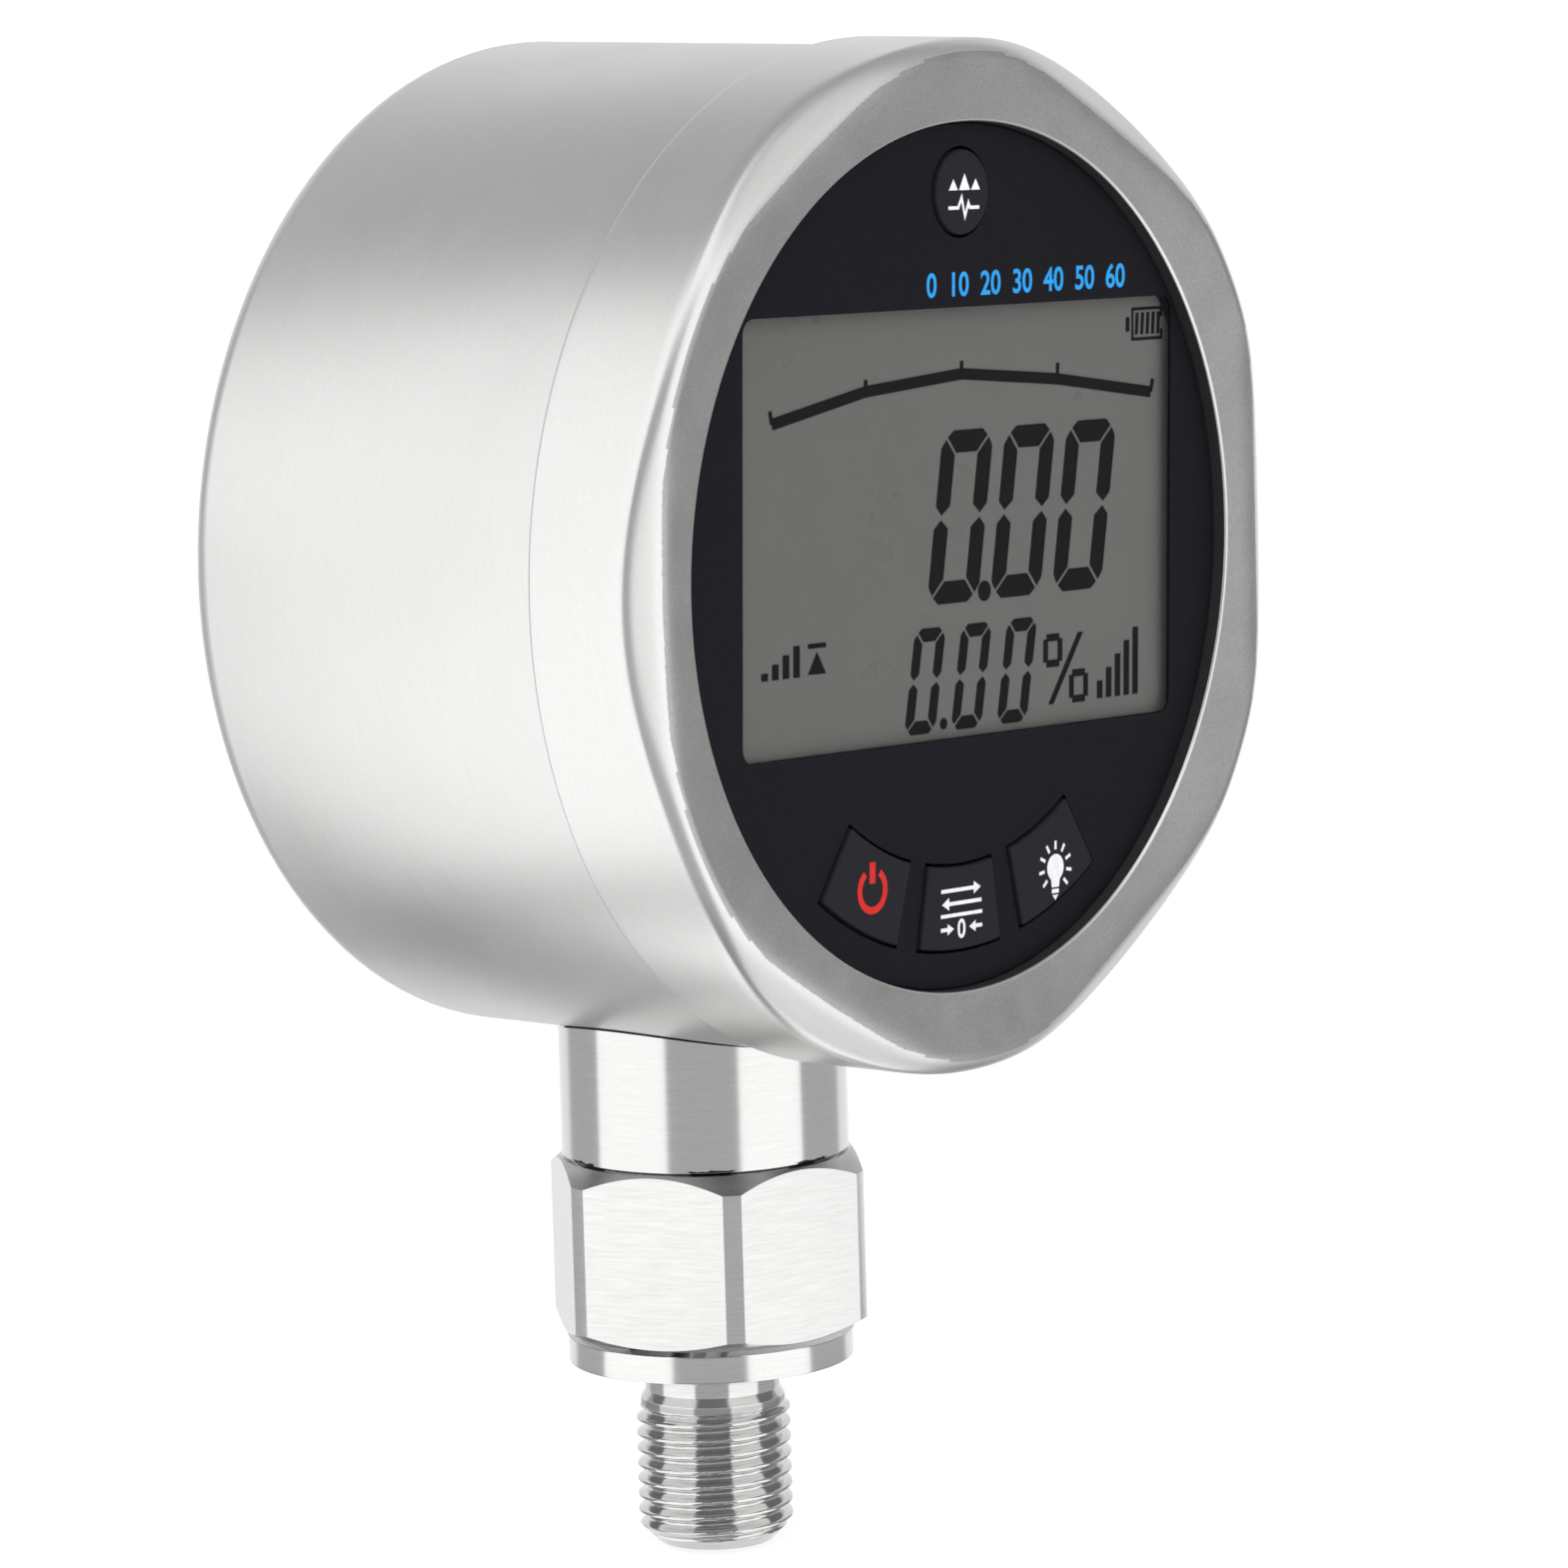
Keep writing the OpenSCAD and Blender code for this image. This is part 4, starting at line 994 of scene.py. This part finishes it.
panel_spot = ON_DIAL @ Matrix.Translation((9.1, 21.45, FACE + 0.008))
scale_numbers = number("0  10  20  30  40  50  60", 2.75, 0.05)
piece("panel_numbers", scale_numbers, [blue_ink], panel_spot)
key_spot = ON_DIAL @ Matrix.Translation((0.02, -31.35, KEY_TOP + 0.004))
piece("key_number_0", number("0", 2.2, 0.04), [white_ink], key_spot, body="unit_key")

# %% [markdown]
# ## Pins on the chips
# Inside, the board's chips have rows of bent pins. One pin is a small plate, and the row tree repeats it
# along each side.

# %% Pins
PIN_DEPTH = 0.35
CHIPS = {"main": (12, 0.8, -7.0, 3.0, 7.6), "converter": (4, 1.2, 9.5, 14.5, -23.8),
         "memory": (3, 1.2, -15.5, -10.5, -21.2)}
for chip, (count, pitch, left_x, right_x, pin_y) in CHIPS.items():
    for side, pin_x in (("left", left_x), ("right", right_x)):
        pin = plates([box(-0.2, -0.55, 0.2, 0.55)], BOARD_BACK - PIN_DEPTH, BOARD_BACK - 0.02)
        place = ON_DIAL @ Matrix.Translation((pin_x, pin_y, 0)) @ Matrix.Rotation(math.radians(90), 4, "Z")
        pins = in_a_row(pin, contact_metal, count, pitch)
        piece(f"pins_{chip}_{side}", pins, [contact_metal], place)

# %% [markdown]
# ## Light
# Steel shows what stands round it. The bands on the photographed neck fit a plain studio: two wide white
# screens, left and right of the camera, grey walls between them and a pale wall behind the gauge. One helper
# writes that studio as a field of a direction. The world uses it for the walls, and the floor repeats it as
# a polished table would, since an upright face that is seen from above shows the table and not the wall.
# The camera itself sees plain white, and the floor keeps the gauge's shadow. Faces near the floor see it
# close to the stem, where it is dimmer, and higher faces see it farther out.

# %% A studio of white screens
TO_CAMERA = 219.3
LEFT_AT, LEFT_HALF, RIGHT_AT, RIGHT_HALF, BACK_HALF = -60, 31, 55, 27.5, 47
GREY_WALL, WHITE_SCREEN, PALE_WALL, SKY_GAIN = 0.54, 1.10, 0.54, 0.896


def wall(x, y, off_camera, half_width, soft):
    """1 toward a stretch of wall, given its angle off the camera and half width, 0 elsewhere."""
    a = math.radians(TO_CAMERA + off_camera)
    toward = (x * math.cos(a) + y * math.sin(a)) / (length_of(x, y) + 1e-6)
    beside = toward.math("MINIMUM", 0.9999).math("ARCCOSINE")
    return span(beside, math.radians(half_width - soft), math.radians(half_width + soft), 1, 0)


def left_screen(x, y, wider=0.0):
    """The white screen left of the camera."""
    return wall(x, y, LEFT_AT - wider, LEFT_HALF + wider, 1.5)


def right_screen(x, y):
    """The white screen right of the camera."""
    return wall(x, y, RIGHT_AT, RIGHT_HALF, 1.5)


def back_wall(x, y):
    """The pale wall behind the gauge."""
    return wall(x, y, 180, BACK_HALF, 4)


def camera_rays(tree):
    """1 for what the camera sees, 0 for light and mirror images."""
    return Field(tree, tree.nodes.new("ShaderNodeLightPath").outputs["Is Camera Ray"])


world = bpy.data.worlds.new("studio")
SCENE.world = world
world.use_nodes = True
sky = world.node_tree
sky.nodes.clear()
dx, dy, dz = split(sky, sky.nodes.new("ShaderNodeTexCoord").outputs["Generated"])
height = dz.math("ARCSINE")


def below(low, high):
    """1 under a height angle and 0 over the next, in degrees."""
    return span(height, math.radians(low), math.radians(high), 1, 0)


overhead = wall(dx, dy, 0, 62, 14) * (below(40, 50) * -1 + 1)
sides = left_screen(dx, dy, 5.0) * below(48, 62) + right_screen(dx, dy) * below(38, 50)
bright = (sides + overhead).math("MINIMUM", 1.0)
walls = (bright * WHITE_SCREEN + back_wall(dx, dy) * below(28, 48) * PALE_WALL + GREY_WALL) * SKY_GAIN
seen = camera_rays(sky)
background = sky.nodes.new("ShaderNodeBackground")
background.inputs["Color"].default_value = (1, 1, 1, 1)
(walls * (seen * -1 + 1) + seen).to(background.inputs["Strength"])
sky.links.new(background.outputs[0], sky.nodes.new("ShaderNodeOutputWorld").inputs["Surface"])
print("the studio has", len(sky.nodes), "nodes")

# %% Floor and lamp
FLOOR_HALF, FLOOR_LOW = 12, -0.0005
# Strengths of the floor's painted glow as the gauge's mirror images see it, and of the white the camera
# sees.
NEAR_TABLE, FAR_TABLE, STEM_GLOW, TIP_GLOW, SEEN_WHITE = 0.45, 0.86, 0.75, 0.9, 0.8
corners = [(x, y, FLOOR_LOW) for x, y in box(-FLOOR_HALF, -FLOOR_HALF, FLOOR_HALF, FLOOR_HALF)]
floor_mesh = mesh_of(corners, [(0, 1, 2, 3)])
floor = add("floor", floor_mesh)
paper, tree, shader = blank("floor paper", (0.9, 0.9, 0.9), 0.9)
shader.inputs["Specular IOR Level"].default_value = 0.0
x, y, z = split(tree, here(tree))
seen = camera_rays(tree)
tone = seen * 0.2 + 0.1 + noise(tree, 3.0) * 0.01
tree.links.new(join(tone, tone, tone), shader.inputs["Base Color"])
shader.inputs["Emission Color"].default_value = (1, 1, 1, 1)
away = length_of(x, y)
screens = left_screen(x, y) + right_screen(x, y)
# Painted light on the floor: for every ray but the camera's, the floor glows as a painted reflection of the
# studio. It is dimmer in a ring round the stem, has a painted pool of light close to the stem that makes the
# thread glint, and has a painted bright spot under the tip.
brightness = span(away, 0.058, 0.08, NEAR_TABLE, FAR_TABLE)
table = (screens * WHITE_SCREEN + back_wall(x, y) * PALE_WALL + GREY_WALL) * brightness
glow_near_stem = screens * span(away, 0.035, 0.055, STEM_GLOW, 0.0)
glow_under_tip = span(away, 0.006, 0.011, 1, 0)
mirrored = (table + glow_near_stem) * (glow_under_tip * -1 + 1) + glow_under_tip * TIP_GLOW
(mirrored * (seen * -1 + 1) + seen * SEEN_WHITE).to(shader.inputs["Emission Strength"])
floor_mesh.materials.append(paper)

lamp_data = bpy.data.lights.new("soft lamp", "AREA")
lamp_data.shape, lamp_data.size, lamp_data.energy = "DISK", 0.8, 5.0
lamp = add("soft lamp", lamp_data)
lamp_place = Vector((-0.9, -0.7, 0.95))
aim = Vector((0, 0, 0.08)) - lamp_place
lamp.matrix_world = Matrix.Translation(lamp_place) @ aim.to_track_quat("-Z", "Y").to_matrix().to_4x4()
lamp.visible_glossy = False
SCENE.view_settings.view_transform = "Standard"
print("floor", 2 * FLOOR_HALF, "m wide, lamp of", lamp_data.size, "m")
